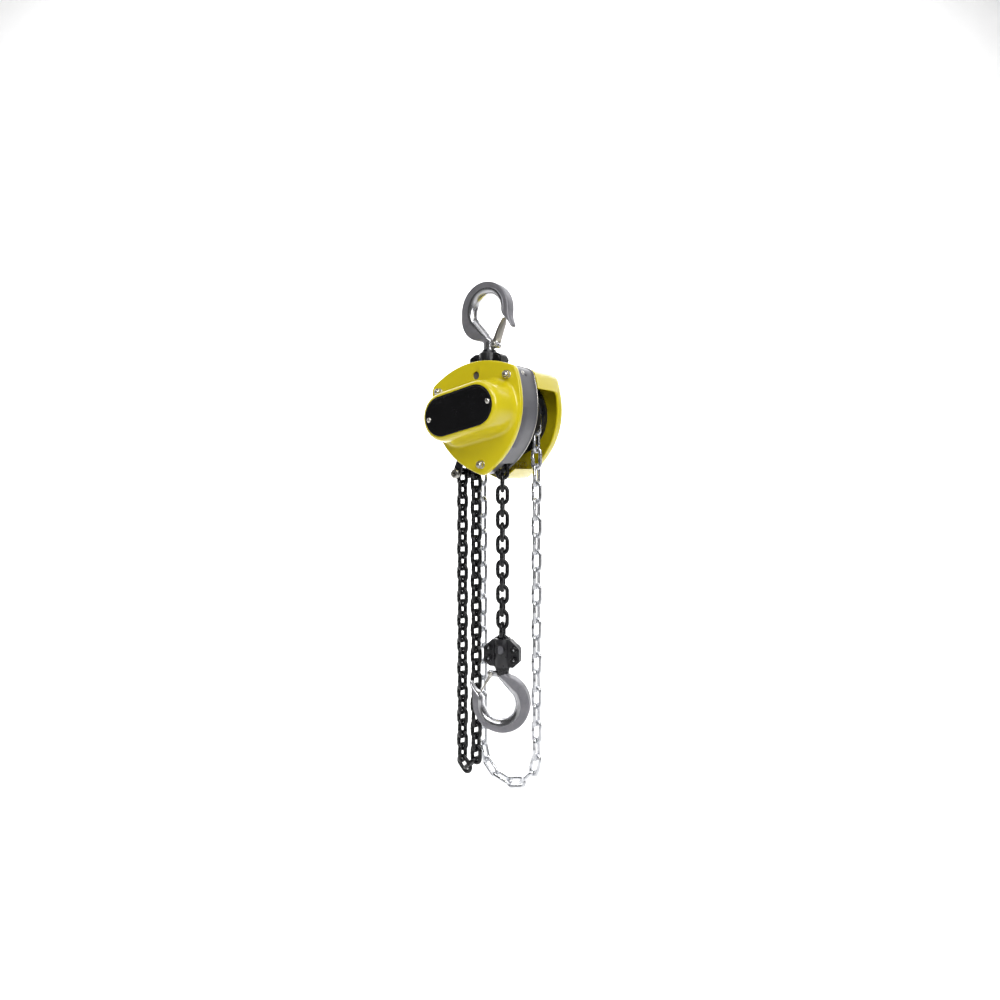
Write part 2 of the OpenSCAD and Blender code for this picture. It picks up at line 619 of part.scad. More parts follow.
module bottom_yoke_rear() color(black) block() half(false) bottom_yoke();
module bottom_yoke_bolts() color(steel) block() for (b = block_bolts)
  difference() {
    union() {
      ycyl(b[0], b[1], 2.5, -5, 9.4);
      ycyl(b[0], b[1], 4, -9, -5);
    }
    translate([b[0], -7, b[1]]) rotate([90, 0, 0])
      cylinder(r = 2.3, h = 4, $fn = 6);
  }
module bottom_yoke_nuts() color(steel) block() for (b = block_bolts)
  translate([b[0], 8.8, b[1]]) rotate([90, 0, 0]) hexnut(8, 2.53, 3.8);
module chain_pin() color(steel) block() ycyl(0, block_z, anchor_r, -12, 12);
module low() S() translate([load_xr, 0, bowl_z]) rotate([0, 0, hook_turn])
  translate([low_e, 0, 0]) rotate([0, 180, 0]) children();
module bottom_hook() color(zinc) low() hook(low_lug, low_e, -34, 0, -53.7, 7, 8.3);
module bottom_latch() color(steel) low() latch(low_lug);
module bottom_latch_pin() color(zinc) low() latch_pin(low_lug);
module bottom_latch_spring() color(zinc) low() latch_spring(low_lug);

gear_cover();
rating_plate();
rating_plate_screws();
gear_side_plate();
body_shell();
stay_bolts();
cover_nuts();
cover_washers();
rear_cover();
rear_cover_nuts();
top_pin();
chain_guide();
chain_stripper();
tail_pin();
tail_pin_nut();
sheave_bush_front();
sheave_bush_rear();
gear_front_bushes();
gear_rear_bushes();
ratchet_cover();
pawl_pins();
pawl_springs();
top_yoke_front();
top_yoke_rear();
top_yoke_bolts();
top_hook();
top_latch();
top_latch_pin();
top_latch_spring();
load_chain_drop();
load_chain_slack();
load_chain_wrap();
bottom_yoke_front();
bottom_yoke_rear();
bottom_yoke_bolts();
bottom_yoke_nuts();
chain_pin();
bottom_hook();
bottom_latch();
bottom_latch_pin();
bottom_latch_spring();
load_sheave();
load_gear();
load_gear_circlip();
drive_shaft();
brake_hub();
friction_disc_inner();
friction_disc_outer();
ratchet_wheel();
hand_wheel();
wheel_nut();
wheel_split_pin();
slice_gear_a();
slice_gear_b();
pawl_a();
pawl_b();
hand_chain();
hand_chain_wrap();
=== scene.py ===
import json
import math
import bpy
import bmesh
import numpy as np
from mathutils import Matrix, Vector


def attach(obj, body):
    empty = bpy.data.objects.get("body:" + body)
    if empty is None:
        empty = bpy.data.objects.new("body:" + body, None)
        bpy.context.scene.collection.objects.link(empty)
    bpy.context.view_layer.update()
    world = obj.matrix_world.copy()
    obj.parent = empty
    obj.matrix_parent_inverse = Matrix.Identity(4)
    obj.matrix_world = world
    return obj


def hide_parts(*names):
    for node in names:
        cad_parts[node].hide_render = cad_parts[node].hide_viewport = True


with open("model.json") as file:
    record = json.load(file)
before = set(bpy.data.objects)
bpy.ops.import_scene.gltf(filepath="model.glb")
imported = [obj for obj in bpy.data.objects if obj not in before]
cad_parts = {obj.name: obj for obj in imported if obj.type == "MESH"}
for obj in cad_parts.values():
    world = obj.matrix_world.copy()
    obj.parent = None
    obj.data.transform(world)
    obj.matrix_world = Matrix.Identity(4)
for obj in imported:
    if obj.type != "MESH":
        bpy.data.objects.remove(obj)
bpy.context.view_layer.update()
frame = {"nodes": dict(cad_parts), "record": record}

NODES = frame["nodes"]
MM = 0.001
SEAT = 127.0            # bowl of the top hook above the load sheave axis
LEAN = 8.0              # lean of the housing
BULGE = 12.0            # slope of the gear bulge
TAU = 2 * math.pi


# ---------------------------------------------------------------- camera
az = math.radians(34.91)
cam_data = bpy.data.cameras.new("camera")
cam = bpy.data.objects.new("camera", cam_data)
bpy.context.scene.collection.objects.link(cam)
cam_data.sensor_width = 36.0
cam_data.lens = 24.76
cam_data.shift_x = 0.0108
cam_data.shift_y = -0.0295
cam_data.clip_start = 0.01
cam_data.clip_end = 50.0
cam.location = (0.4813, -0.6896, (-SEAT - 68.35) * MM)
look = Vector((-math.sin(az), math.cos(az), 0.0))
cam.rotation_euler = look.to_track_quat("-Z", "Y").to_euler()
bpy.context.scene.camera = cam


# ---------------------------------------------------------------- materials
class Tree:
    """Small helper around a material's node tree."""

    def __init__(self, name):
        self.mat = bpy.data.materials.new(name)
        self.mat.use_nodes = True
        self.nt = self.mat.node_tree
        self.nt.nodes.clear()
        self.out = self.nt.nodes.new("ShaderNodeOutputMaterial")
        self.bsdf = self.nt.nodes.new("ShaderNodeBsdfPrincipled")
        self.nt.links.new(self.bsdf.outputs["BSDF"], self.out.inputs["Surface"])
        self.coord = self.nt.nodes.new("ShaderNodeTexCoord").outputs["Object"]

    def link(self, a, b):
        self.nt.links.new(a, b)

    def noise(self, scale, detail=3.0, rough=0.55, stretch=None):
        src = self.coord
        if stretch:
            m = self.nt.nodes.new("ShaderNodeMapping")
            m.inputs["Scale"].default_value = stretch
            self.link(src, m.inputs["Vector"])
            src = m.outputs["Vector"]
        n = self.nt.nodes.new("ShaderNodeTexNoise")
        n.inputs["Scale"].default_value = scale
        n.inputs["Detail"].default_value = detail
        n.inputs["Roughness"].default_value = rough
        self.link(src, n.inputs["Vector"])
        return n.outputs["Fac"]

    def voronoi(self, scale):
        n = self.nt.nodes.new("ShaderNodeTexVoronoi")
        n.inputs["Scale"].default_value = scale
        self.link(self.coord, n.inputs["Vector"])
        return n.outputs["Distance"]

    def span(self, fac, lo, hi, a=0.0, b=1.0):
        m = self.nt.nodes.new("ShaderNodeMapRange")
        m.inputs["From Min"].default_value = lo
        m.inputs["From Max"].default_value = hi
        m.inputs["To Min"].default_value = a
        m.inputs["To Max"].default_value = b
        self.link(fac, m.inputs["Value"])
        return m.outputs["Result"]

    def mix(self, fac, a, b):
        m = self.nt.nodes.new("ShaderNodeMix")
        m.data_type = "RGBA"
        self.link(fac, m.inputs["Factor"])
        for key, v in (("A", a), ("B", b)):
            s = [i for i in m.inputs if i.name == key and i.type == "RGBA"][0]
            if isinstance(v, tuple):
                s.default_value = v + (1.0,)
            else:
                self.link(v, s)
        return [o for o in m.outputs if o.type == "RGBA"][0]

    def mul(self, a, b):
        m = self.nt.nodes.new("ShaderNodeMath")
        m.operation = "MULTIPLY"
        for i, v in enumerate((a, b)):
            if isinstance(v, float):
                m.inputs[i].default_value = v
            else:
                self.link(v, m.inputs[i])
        return m.outputs[0]

    def add(self, a, b):
        m = self.nt.nodes.new("ShaderNodeMath")
        m.operation = "ADD"
        for i, v in enumerate((a, b)):
            if isinstance(v, float):
                m.inputs[i].default_value = v
            else:
                self.link(v, m.inputs[i])
        return m.outputs[0]

    def bump(self, height, strength, dist):
        b = self.nt.nodes.new("ShaderNodeBump")
        b.inputs["Strength"].default_value = strength
        b.inputs["Distance"].default_value = dist
        self.link(height, b.inputs["Height"])
        self.link(b.outputs["Normal"], self.bsdf.inputs["Normal"])

    def set(self, **kw):
        for k, v in kw.items():
            s = self.bsdf.inputs[k.replace("_", " ")]
            if hasattr(v, "is_linked"):
                self.link(v, s)
            elif isinstance(v, tuple):
                s.default_value = v + (1.0,)
            else:
                s.default_value = v


def paint(name, a, b, rough, vary, coat, peel, grime=0.0, grime_col=(0.05, 0.04, 0.02), spec=0.5):
    """Sprayed paint: slow colour drift, orange peel, a few rub marks."""
    t = Tree(name)
    col = t.mix(t.span(t.noise(22, 4), 0.3, 0.7), a, b)
    if grime:
        spots = t.mul(t.span(t.noise(55, 6, 0.7), 0.56, 0.78), grime)
        col = t.mix(spots, col, grime_col)
    t.set(Base_Color=col, Metallic=0.0, Coat_Weight=coat, Coat_Roughness=0.07,
          Specular_IOR_Level=spec)
    rub = t.noise(70, 4, 0.6)
    t.set(Roughness=t.span(rub, 0.3, 0.75, rough - vary, rough + vary))
    h = t.add(t.noise(720, 2), t.mul(t.noise(90, 3), 0.6))
    t.bump(h, peel, 0.0004)
    return t.mat


def metal(name, a, b, rough, vary, scale, bump, dist, stretch=None, metallic=1.0):
    """Plated or oiled steel: two tones, uneven gloss, fine surface grain."""
    t = Tree(name)
    big = t.noise(scale, 5, 0.6)
    fine = t.noise(scale * 12, 3, 0.6, stretch)
    col = t.mix(t.span(t.add(t.mul(big, 0.7), t.mul(fine, 0.3)), 0.34, 0.66), a, b)
    t.set(Base_Color=col, Metallic=metallic)
    t.set(Roughness=t.span(t.add(t.mul(big, 0.5), t.mul(fine, 0.5)), 0.3, 0.7,
                           rough - vary, rough + vary))
    t.bump(t.add(fine, t.mul(big, 0.8)), bump, dist)
    return t.mat


def worn_black(name, base, wear, rough, amount, grain, metallic=0.0):
    """Blackened steel or black paint, rubbed through to steel in patches."""
    t = Tree(name)
    patch = t.noise(130, 6, 0.65)
    fine = t.noise(900, 3, 0.6)
    m = t.span(t.add(t.mul(patch, 0.75), t.mul(fine, 0.25)), 0.62 - amount, 0.72 - amount)
    tone = t.mix(t.span(t.noise(40, 4), 0.3, 0.7), base,
                 tuple(min(1.0, c * 1.7 + 0.004) for c in base))
    t.set(Base_Color=t.mix(t.mul(m, 0.75), tone, wear))
    t.set(Metallic=t.span(m, 0.0, 1.0, metallic, 0.85))
    t.set(Roughness=t.span(t.noise(260, 4, 0.6), 0.3, 0.7, rough - 0.1, rough + 0.12))
    t.bump(t.add(fine, t.mul(patch, 0.7)), grain, 0.0005)
    return t.mat


M = {}
M["yellow_paint"] = paint("yellow_paint", (0.69, 0.575, 0.010), (0.65, 0.540, 0.009),
                          0.25, 0.02, 0.40, 0.035, 0.03, (0.45, 0.35, 0.01), 0.45)
M["grey_paint"] = paint("grey_paint", (0.122, 0.122, 0.136), (0.098, 0.098, 0.110),
                        0.40, 0.06, 0.15, 0.10, 0.10, (0.06, 0.06, 0.065))
M["plate_black"] = paint("plate_black", (0.0040, 0.0040, 0.0045), (0.007, 0.007, 0.008),
                         0.24, 0.08, 0.08, 0.03, 0.3, (0.014, 0.014, 0.016), 0.3)
M["black_paint"] = worn_black("black_paint", (0.010, 0.010, 0.012), (0.16, 0.16, 0.17),
                              0.34, -0.02, 0.22)
M["black_chain"] = worn_black("black_chain", (0.004, 0.004, 0.005), (0.18, 0.18, 0.19),
                              0.24, -0.01, 0.14, 0.20)
M["zinc_chain"] = metal("zinc_chain", (0.80, 0.81, 0.83), (0.58, 0.59, 0.62), 0.24, 0.10,
                        120, 0.10, 0.0003)
M["forged_zinc"] = metal("forged_zinc", (0.270, 0.265, 0.288), (0.195, 0.192, 0.210), 0.42, 0.08,
                         90, 0.30, 0.0005, metallic=0.4)
M["zinc_fastener"] = metal("zinc_fastener", (0.78, 0.76, 0.70), (0.58, 0.56, 0.52), 0.26, 0.09,
                           200, 0.12, 0.0002)
M["latch_steel"] = metal("latch_steel", (0.47, 0.445, 0.405), (0.33, 0.31, 0.28), 0.38, 0.10,
                         150, 0.18, 0.0003)
M["machined_steel"] = metal("machined_steel", (0.58, 0.58, 0.60), (0.43, 0.43, 0.45), 0.22, 0.08,
                            160, 0.14, 0.0002, (1.0, 6.0, 1.0))
M["bronze"] = metal("bronze", (0.50, 0.33, 0.13), (0.38, 0.24, 0.09), 0.38, 0.08,
                    220, 0.15, 0.0002)
M["friction"] = worn_black("friction", (0.075, 0.045, 0.028), (0.16, 0.12, 0.09), 0.72, 0.05, 0.4)


# ---------------------------------------------------------------- mesh tools
def obj_from(name, verts, faces, angle=32.0):
    me = bpy.data.meshes.new(name)
    me.from_pydata([tuple(v) for v in verts], [], [tuple(f) for f in faces])
    me.validate()
    o = bpy.data.objects.new(name, me)
    bpy.context.scene.collection.objects.link(o)
    tidy(o, angle)
    return o


def tidy(o, angle=32.0):
    """Outward faces, smooth shading with sharp edges kept."""
    me = o.data
    bm = bmesh.new()
    bm.from_mesh(me)
    bmesh.ops.remove_doubles(bm, verts=bm.verts, dist=1e-7)
    bmesh.ops.dissolve_degenerate(bm, edges=bm.edges, dist=1e-7)
    bmesh.ops.recalc_face_normals(bm, faces=bm.faces)
    bm.to_mesh(me)
    bm.free()
    me.polygons.foreach_set("use_smooth", [True] * len(me.polygons))
    me.set_sharp_from_angle(angle=math.radians(angle))
    me.update()


def bake(o, angle=32.0):
    """Applies the object's modifiers to its mesh."""
    dg = bpy.context.evaluated_depsgraph_get()
    me = bpy.data.meshes.new_from_object(o.evaluated_get(dg))
    old = o.data
    o.modifiers.clear()
    o.data = me
    bpy.data.meshes.remove(old)
    tidy(o, angle)


def cut(o, cutters, angle=32.0):
    """Cuts closed shapes out of o."""
    for c in cutters:
        m = o.modifiers.new("cut", "BOOLEAN")
        m.operation = "DIFFERENCE"
        m.solver = "EXACT"
        m.object = c
        bake(o, angle)
        bpy.data.objects.remove(c)


def bevel(o, width, segs=2, angle=40.0, sharp=32.0):
    m = o.modifiers.new("bevel", "BEVEL")
    m.width = width * MM
    m.segments = segs
    m.limit_method = "ANGLE"
    m.angle_limit = math.radians(angle)
    m.miter_outer = "MITER_ARC"
    bake(o, sharp)


def box_cutter(lo, hi, rot=0.0, centre=(0, 0, 0), round_=0.0, segs=4):
    """Box in sheave coordinates (mm), turned about the Y axis through centre."""
    bm = bmesh.new()
    bmesh.ops.create_cube(bm, size=1.0)
    for v in bm.verts:
        v.co = Vector([lo[i] + (v.co[i] + 0.5) * (hi[i] - lo[i]) for i in range(3)])
    if round_:
        bmesh.ops.bevel(bm, geom=list(bm.edges), offset=round_, segments=segs,
                        profile=0.5, affect="EDGES")
    r = Matrix.Rotation(math.radians(-rot), 4, "Y")
    for v in bm.verts:
        p = r @ (v.co - Vector(centre)) + Vector(centre)
        v.co = Vector((p.x, p.y, p.z - SEAT)) * MM
    me = bpy.data.meshes.new("cutter")
    bm.to_mesh(me)
    bm.free()
    o = bpy.data.objects.new("cutter", me)
    bpy.context.scene.collection.objects.link(o)
    return o


def rod_cutter(x, z, r, y0, y1, n=40):
    """Round bar along Y in sheave coordinates (mm)."""
    vs, fs = [], []
    for y in (y0, y1):
        for k in range(n):
            a = TAU * k / n
            vs.append(Vector((x + r * math.cos(a), y, z + r * math.sin(a) - SEAT)) * MM)
    for k in range(n):
        fs.append((k, (k + 1) % n, n + (k + 1) % n, n + k))
    fs.append(tuple(range(n)))
    fs.append(tuple(range(2 * n - 1, n - 1, -1)))
    o = obj_from("cutter", vs, fs)
    return o


def loft(name, rings, angle=32.0, caps=(True, True), wrap=False):
    """Skin over closed rings of equal length (lists of points in metres)."""
    n = len(rings[0])
    vs = [p for r in rings for p in r]
    fs = []
    m = len(rings)
    for i in range(m if wrap else m - 1):
        j = (i + 1) % m
        for k in range(n):
            k2 = (k + 1) % n
            fs.append((i * n + k, i * n + k2, j * n + k2, j * n + k))
    if not wrap:
        if caps[0]:
            fs.append(tuple(range(n - 1, -1, -1)))
        if caps[1]:
            fs.append(tuple((m - 1) * n + k for k in range(n)))
    return obj_from(name, vs, fs, angle)


def place(o, body, nodes, slot):
    o.data.materials.clear()
    o.data.materials.append(M[slot])
    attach(o, body)
    if nodes:
        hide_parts(*nodes)
    return o


# ---------------------------------------------------------------- housing outlines
TIPS = (35.0, 145.0, 270.0)
BOLT_R, CORNER_R, SIDE_R = 62.0, 12.5, 61.5


def span_of(i):
    return (TIPS[(i + 1) % 3] - TIPS[i]) % 360


def bow(i):
    e = 25.0
    h = math.radians(span_of(i) / 2)
    for _ in range(14):
        L = 2 * BOLT_R * math.sin(h) + 2 * CORNER_R * math.sin(math.radians(e))
        s = SIDE_R - BOLT_R * math.cos(h) - CORNER_R * math.cos(math.radians(e))
        e = math.degrees(math.atan(4 * s / L))
    return e, s


BOWS = [bow(i) for i in range(3)]


def tip_pt(i, a, d):
    t, a = math.radians(TIPS[i]), math.radians(a)
    return np.array([BOLT_R * math.cos(t) + (CORNER_R - d) * math.cos(a),
                     BOLT_R * math.sin(t) + (CORNER_R - d) * math.sin(a)])


def outline(d):
    pts = []
    for i in range(3):
        j, k = (i + 2) % 3, (i + 1) % 3
        b0 = TIPS[j] + span_of(j) / 2
        b1 = TIPS[i] + span_of(i) / 2
        a0 = b0 + BOWS[j][0] - (360 if b0 > TIPS[i] else 0)
        a1 = b1 - BOWS[i][0]
        for t in range(17):
            pts.append(tip_pt(i, a0 + (a1 - a0) * t / 16, d))
        p, q = tip_pt(i, a1, d), tip_pt(k, b1 + BOWS[i][0], d)
        nrm = np.array([math.cos(math.radians(b1)), math.sin(math.radians(b1))])
        for t in range(1, 40):
            u = t / 40
            pts.append(p + (q - p) * u + BOWS[i][1] * 4 * u * (1 - u) * nrm)
    return np.array(pts)


def stadium(c, r, n=40):
    pts = []
    for k in range(n + 1):
        a = -math.pi / 2 + math.pi * k / n
        pts.append((c + r * math.cos(a), r * math.sin(a)))
    for t in np.linspace(0, 1, 26)[1:-1]:
        pts.append((c - 2 * c * t, r))
    for k in range(n + 1):
        a = math.pi / 2 + math.pi * k / n
        pts.append((-c + r * math.cos(a), r * math.sin(a)))
    for t in np.linspace(0, 1, 26)[1:-1]:
        pts.append((-c + 2 * c * t, -r))
    return np.array(pts)


NP = 300
PHI = np.arange(NP) * TAU / NP


def polar(pts, turn):
    """Distance from the axis at each of the NP directions, for a turned outline."""
    a = (np.arctan2(pts[:, 1], pts[:, 0]) + math.radians(turn)) % TAU
    r = np.hypot(pts[:, 0], pts[:, 1])
    o = np.argsort(a)
    a, r = a[o], r[o]
    a = np.concatenate([a[-3:] - TAU, a, a[:3] + TAU])
    r = np.concatenate([r[-3:], r, r[:3]])
    return np.interp(PHI, a, r)


def pring(r, y):
    r = np.asarray(r) * np.ones(NP)
    return [Vector((r[k] * math.cos(PHI[k]), y, r[k] * math.sin(PHI[k]) - SEAT)) * MM
            for k in range(NP)]


def out_r(d):
    return polar(outline(d), LEAN)


def sta_r(c, r):
    return polar(stadium(c, r), BULGE)


# ---------------------------------------------------------------- gear cover
def gear_cover():
    lim = lambda st, d: np.minimum(st, out_r(d))
    rings = [
        pring(sta_r(25.0, 22.4), -60.7), pring(sta_r(25.2, 24.6), -60.2),
        pring(sta_r(25.4, 26.0), -58.0), pring(sta_r(25.7, 27.2), -50.0),
        pring(sta_r(26.0, 29.0), -31.0), pring(lim(sta_r(26.0, 30.4), 4.2), -27.0),
        pring(lim(sta_r(26.0, 32.0), 3.8), -25.5), pring(out_r(3.2), -25.5),
        pring(out_r(2.6), -25.2), pring(out_r(2.5), -24.6), pring(out_r(2.5), -22.4),
        pring(out_r(2.2), -22.0), pring(out_r(0.8), -22.0), pring(out_r(0.2), -22.25),
        pring(out_r(0.0), -22.9), pring(out_r(0.0), -26.0), pring(out_r(0.25), -27.0),
        pring(out_r(0.8), -27.65), pring(out_r(1.6), -27.95), pring(out_r(2.6), -28.0),
        pring(lim(sta_r(26.0, 36.6), 2.6), -28.0),
        pring(lim(sta_r(26.0, 35.0), 3.0), -28.25),
        pring(lim(sta_r(26.0, 33.6), 3.4), -29.1),
        pring(lim(sta_r(26.0, 32.5), 3.9), -30.6),
        pring(sta_r(26.0, 31.7), -33.0), pring(sta_r(26.0, 31.2), -37.0),
        pring(sta_r(26.0, 30.5), -44.0), pring(sta_r(25.9, 29.7), -51.0),
        pring(sta_r(25.8, 29.1), -55.8), pring(sta_r(25.7, 28.5), -58.5),
        pring(sta_r(25.6, 27.7), -60.5), pring(sta_r(25.5, 26.7), -61.9),
        pring(sta_r(25.4, 25.6), -62.8), pring(sta_r(25.3, 24.5), -63.15),
        pring(sta_r(25.2, 23.6), -63.2), pring(sta_r(25.0, 20.0), -63.2),
    ]
    o = loft("gear_cover_shell", rings, 40)
    cut(o, [rod_cutter(0, 44.6, 4.9, -40, -20)], 40)
    bevel(o, 0.3, 2, 60, 40)
    return place(o, "frame", ["gear_cover"], "yellow_paint")


def low_r(d):
    """Outline of the wheel cover, which hangs a little below the body."""
    return polar(outline(d) - np.array([0.0, 3.0]), LEAN)


def rear_cover():
    s8 = low_r(5.0)
    rings = [
        pring(s8 * 0.5, 68.0), pring(low_r(4.0), 68.0), pring(low_r(1.6), 67.2),
        pring(low_r(0.4), 65.6), pring(low_r(0.0), 63.5), pring(low_r(0.0), 40.0),
        pring(low_r(0.0), 12.5), pring(low_r(-0.4), 12.0), pring(low_r(-1.6), 12.0),
        pring(low_r(-2.0), 12.4), pring(low_r(-2.0), 30.0), pring(low_r(-2.0), 45.0),
        pring(low_r(-2.0), 63.0), pring(low_r(-1.75), 65.2), pring(low_r(-1.05), 67.2),
        pring(low_r(0.2), 68.8), pring(low_r(2.0), 69.75), pring(low_r(4.2), 70.0),
        pring(s8 * 0.80, 70.0), pring(s8 * 0.78, 69.8), pring(s8 * 0.755, 69.25),
        pring(s8 * 0.73, 69.0), pring(s8 * 0.6, 69.0), pring(np.full(NP, 30.0), 69.0),
        pring(np.full(NP, 28.5), 69.15), pring(np.full(NP, 27.0), 69.6),
        pring(np.full(NP, 25.5), 69.8), pring(np.full(NP, 12.0), 69.8),
    ]
    o = loft("rear_cover_shell", rings, 40)
    cut(o, [box_cutter((-120, 2, -70), (120, 55, 20), LEAN, (0, 0, 0), 7.0, 5),
            box_cutter((-24, 2, 40), (24, 15, 100), 0, (0, 0, 0), 1.5, 3)], 40)
    bevel(o, 0.55, 2, 50, 40)
    return place(o, "frame", ["rear_cover"], "yellow_paint")


def body_shell():
    rings = [
        pring(np.full(NP, 24.0), 14.5), pring(out_r(11.0), 14.5), pring(out_r(10.2), 14.2),
        pring(out_r(10.0), 13.6), pring(out_r(10.0), 10.9), pring(out_r(9.6), 10.5),
        pring(out_r(5.2), 10.5), pring(out_r(4.6), 10.2), pring(out_r(4.5), 9.6),
        pring(out_r(4.5), -6.0), pring(out_r(4.5), -20.1),
        pring(out_r(4.1), -20.5), pring(out_r(2.0), -20.5), pring(out_r(1.5), -20.0),
        pring(out_r(1.5), -8.0), pring(out_r(1.5), 4.0), pring(out_r(1.5), 8.4),
        pring(out_r(1.3), 9.1), pring(out_r(0.8), 9.6), pring(out_r(0.5), 10.4),
        pring(out_r(0.5), 11.1), pring(out_r(0.9), 11.75), pring(out_r(1.6), 12.0),
        pring(out_r(7.2), 12.0), pring(out_r(7.9), 12.3), pring(out_r(8.0), 13.0),
        pring(out_r(8.0), 18.0), pring(out_r(8.4), 18.5),
        pring(out_r(11.0), 18.5), pring(np.full(NP, 24.0), 18.5),
    ]
    o = loft("body_shell_pressing", rings, 40)
    cut(o, [rod_cutter(0, 0, 17.0, 10, 25, 64),
            box_cutter((-28, -40, 40), (28, 13.5, 100), 0, (0, 0, 0), 3.0, 4),
            box_cutter((-51, -40, -100), (-8, 13.5, -15), 0, (0, 0, 0), 3.0, 4),
            box_cutter((10.8, -9, -100), (28.4, 9, -15), 0, (0, 0, 0), 2.0, 4)]
        + [rod_cutter(bolt_at(i, 0).x / MM, bolt_at(i, 0).z / MM + SEAT, 5.2, -40, 14.4)
           for i in range(3)], 40)
    bevel(o, 0.4, 2, 50, 40)
    return place(o, "frame", ["body_shell"], "grey_paint")


def gear_side_plate():
    rings = [
        pring(np.full(NP, 40.0), -20.5), pring(out_r(3.6), -20.5), pring(out_r(3.0), -20.75),
        pring(out_r(2.8), -21.3), pring(out_r(2.8), -24.8), pring(out_r(3.1), -25.3),
        pring(out_r(3.7), -25.5), pring(np.full(NP, 40.0), -25.5),
    ]
    o = loft("gear_side_plate_blank", rings, 40)
    b = math.radians(BULGE)
    cut(o, [rod_cutter(0, 0, 17.0, -30, -15, 64)]
        + [rod_cutter(s * 27 * math.cos(b), s * 27 * math.sin(b), 7.0, -30, -15) for s in (-1, 1)], 40)
    return place(o, "frame", ["gear_side_plate"], "grey_paint")


def sring(c, r, y, turn=BULGE):
    p = stadium(c, r)
    t = math.radians(turn)
    return [Vector((x * math.cos(t) - z * math.sin(t), y,
                    x * math.sin(t) + z * math.cos(t) - SEAT)) * MM for x, z in p]


def rating_plate():
    rings = [sring(25, 23.3, -63.2), sring(25, 23.5, -63.35), sring(25, 23.5, -63.85),
             sring(25, 23.3, -64.1), sring(25, 22.9, -64.2), sring(25, 22.0, -64.2),
             sring(25, 21.7, -64.1), sring(25, 21.45, -63.92), sring(25, 21.1, -63.86),
             sring(25, 12.0, -63.86)]
    o = loft("rating_plate_blank", rings, 40)
    return place(o, "frame", ["rating_plate"], "plate_black")


# ---------------------------------------------------------------- fasteners
def join(name, parts, angle=32.0):
    """One object from several (verts, faces) pieces."""
    vs, fs = [], []
    for v, f in parts:
        k = len(vs)
        vs += list(v)
        fs += [tuple(i + k for i in q) for q in f]
    return obj_from(name, vs, fs, angle)


def lathe(profile, origin, axis, n=40, turn=0.0, hexes=()):
    """Turns (radius, height) points about an axis; rings in hexes are six-sided.
    origin in metres, profile in mm. The profile always closes into a loop."""
    axis = Vector(axis).normalized()
    u = axis.orthogonal().normalized()
    if abs(axis.y) > 0.9:
        u = Vector((1, 0, 0))
    w = axis.cross(u)
    vs, fs = [], []
    for i, (r, h) in enumerate(profile):
        for k in range(n):
            a = TAU * k / n
            rr, hh = r, h
            if i in hexes:
                q = ((math.degrees(a) + 30) % 60) - 30
                rr = r / math.cos(math.radians(q))
                if hexes[i]:
                    hh = h - (rr - r) * hexes[i]
            c, s = math.cos(a + turn), math.sin(a + turn)
            vs.append(Vector(origin) + (u * (rr * c) + w * (rr * s) + axis * hh) * MM)
    m = len(profile)
    for i in range(m):
        j = (i + 1) % m
        for k in range(n):
            k2 = (k + 1) % n
            fs.append((i * n + k, i * n + k2, j * n + k2, j * n + k))
    return vs, fs


def nut(origin, axis, af, bore, h, turn):
    prof = [(bore, 0.4), (bore + 0.4, 0.0), (af / 2 * 0.95, 0.0), (af / 2, 0.45),
            (af / 2, h - 0.15), (af / 2 * 0.95, h), (bore + 0.5, h), (bore, h - 0.5)]
    return lathe(prof, origin, axis, 48, turn, {3: -0.4, 4: 0.55})


def thread(origin, axis, r, h0, h1, pitch):
    """Cut thread with a chamfered end, as closed rings."""
    prof = [(0.02, h0), (r, h0)]
    h = h0
    while h + pitch < h1 - 0.6:
        prof += [(r, h + pitch * 0.15), (r - pitch * 0.42, h + pitch * 0.55), (r, h + pitch * 0.95)]
        h += pitch
    prof += [(r, h1 - 0.7), (r - 0.7, h1), (0.02, h1)]
    return lathe(prof, origin, axis, 28)


def bolt_at(i, y):
    a = math.radians(TIPS[i] + LEAN)
    return Vector((BOLT_R * math.cos(a), y, BOLT_R * math.sin(a) - SEAT)) * MM


def fasteners():
    parts = [nut(bolt_at(i, -29.2), (0, -1, 0), 8, 2.55, 4.5, 0.35 * i + 0.2) for i in range(3)]
    place(join("cover_nuts_hex", parts), "frame", ["cover_nuts"], "zinc_fastener")
    parts = [nut(bolt_at(i, 70.0), (0, 1, 0), 8, 2.55, 4.5, 0.3 * i) for i in range(3)]
    place(join("rear_cover_nuts_hex", parts), "frame", ["rear_cover_nuts"], "zinc_fastener")
    parts = []
    for i in range(3):
        o = bolt_at(i, 0.0)
        parts.append(thread(o, (0, -1, 0), 2.5, 25.0, 35.0, 0.8))
        parts.append(thread(o, (0, 1, 0), 2.5, 68.0, 76.0, 0.8))
        waist = [(4.4, -10.4), (4.0, -10.0), (2.2, -10.0), (2.2, 10.0), (4.0, 10.0), (4.4, 10.4)]
        parts.append(lathe([(0.02, -25.2), (2.5, -25.2), (2.5, -20.5), (4.0, -20.5), (4.4, -20.1)]
                           + (waist if i == 2 else [])
                           + [(4.4, 14.1), (4.0, 14.5), (2.5, 14.5), (2.5, 18.5), (4.0, 18.5),
                              (4.4, 18.9), (4.4, 67.6), (4.0, 68.0), (2.5, 68.0), (2.5, 68.2),
                              (0.02, 68.2)], o, (0, 1, 0), 32))
    place(join("stay_bolts_turned", parts), "frame", ["stay_bolts"], "zinc_fastener")


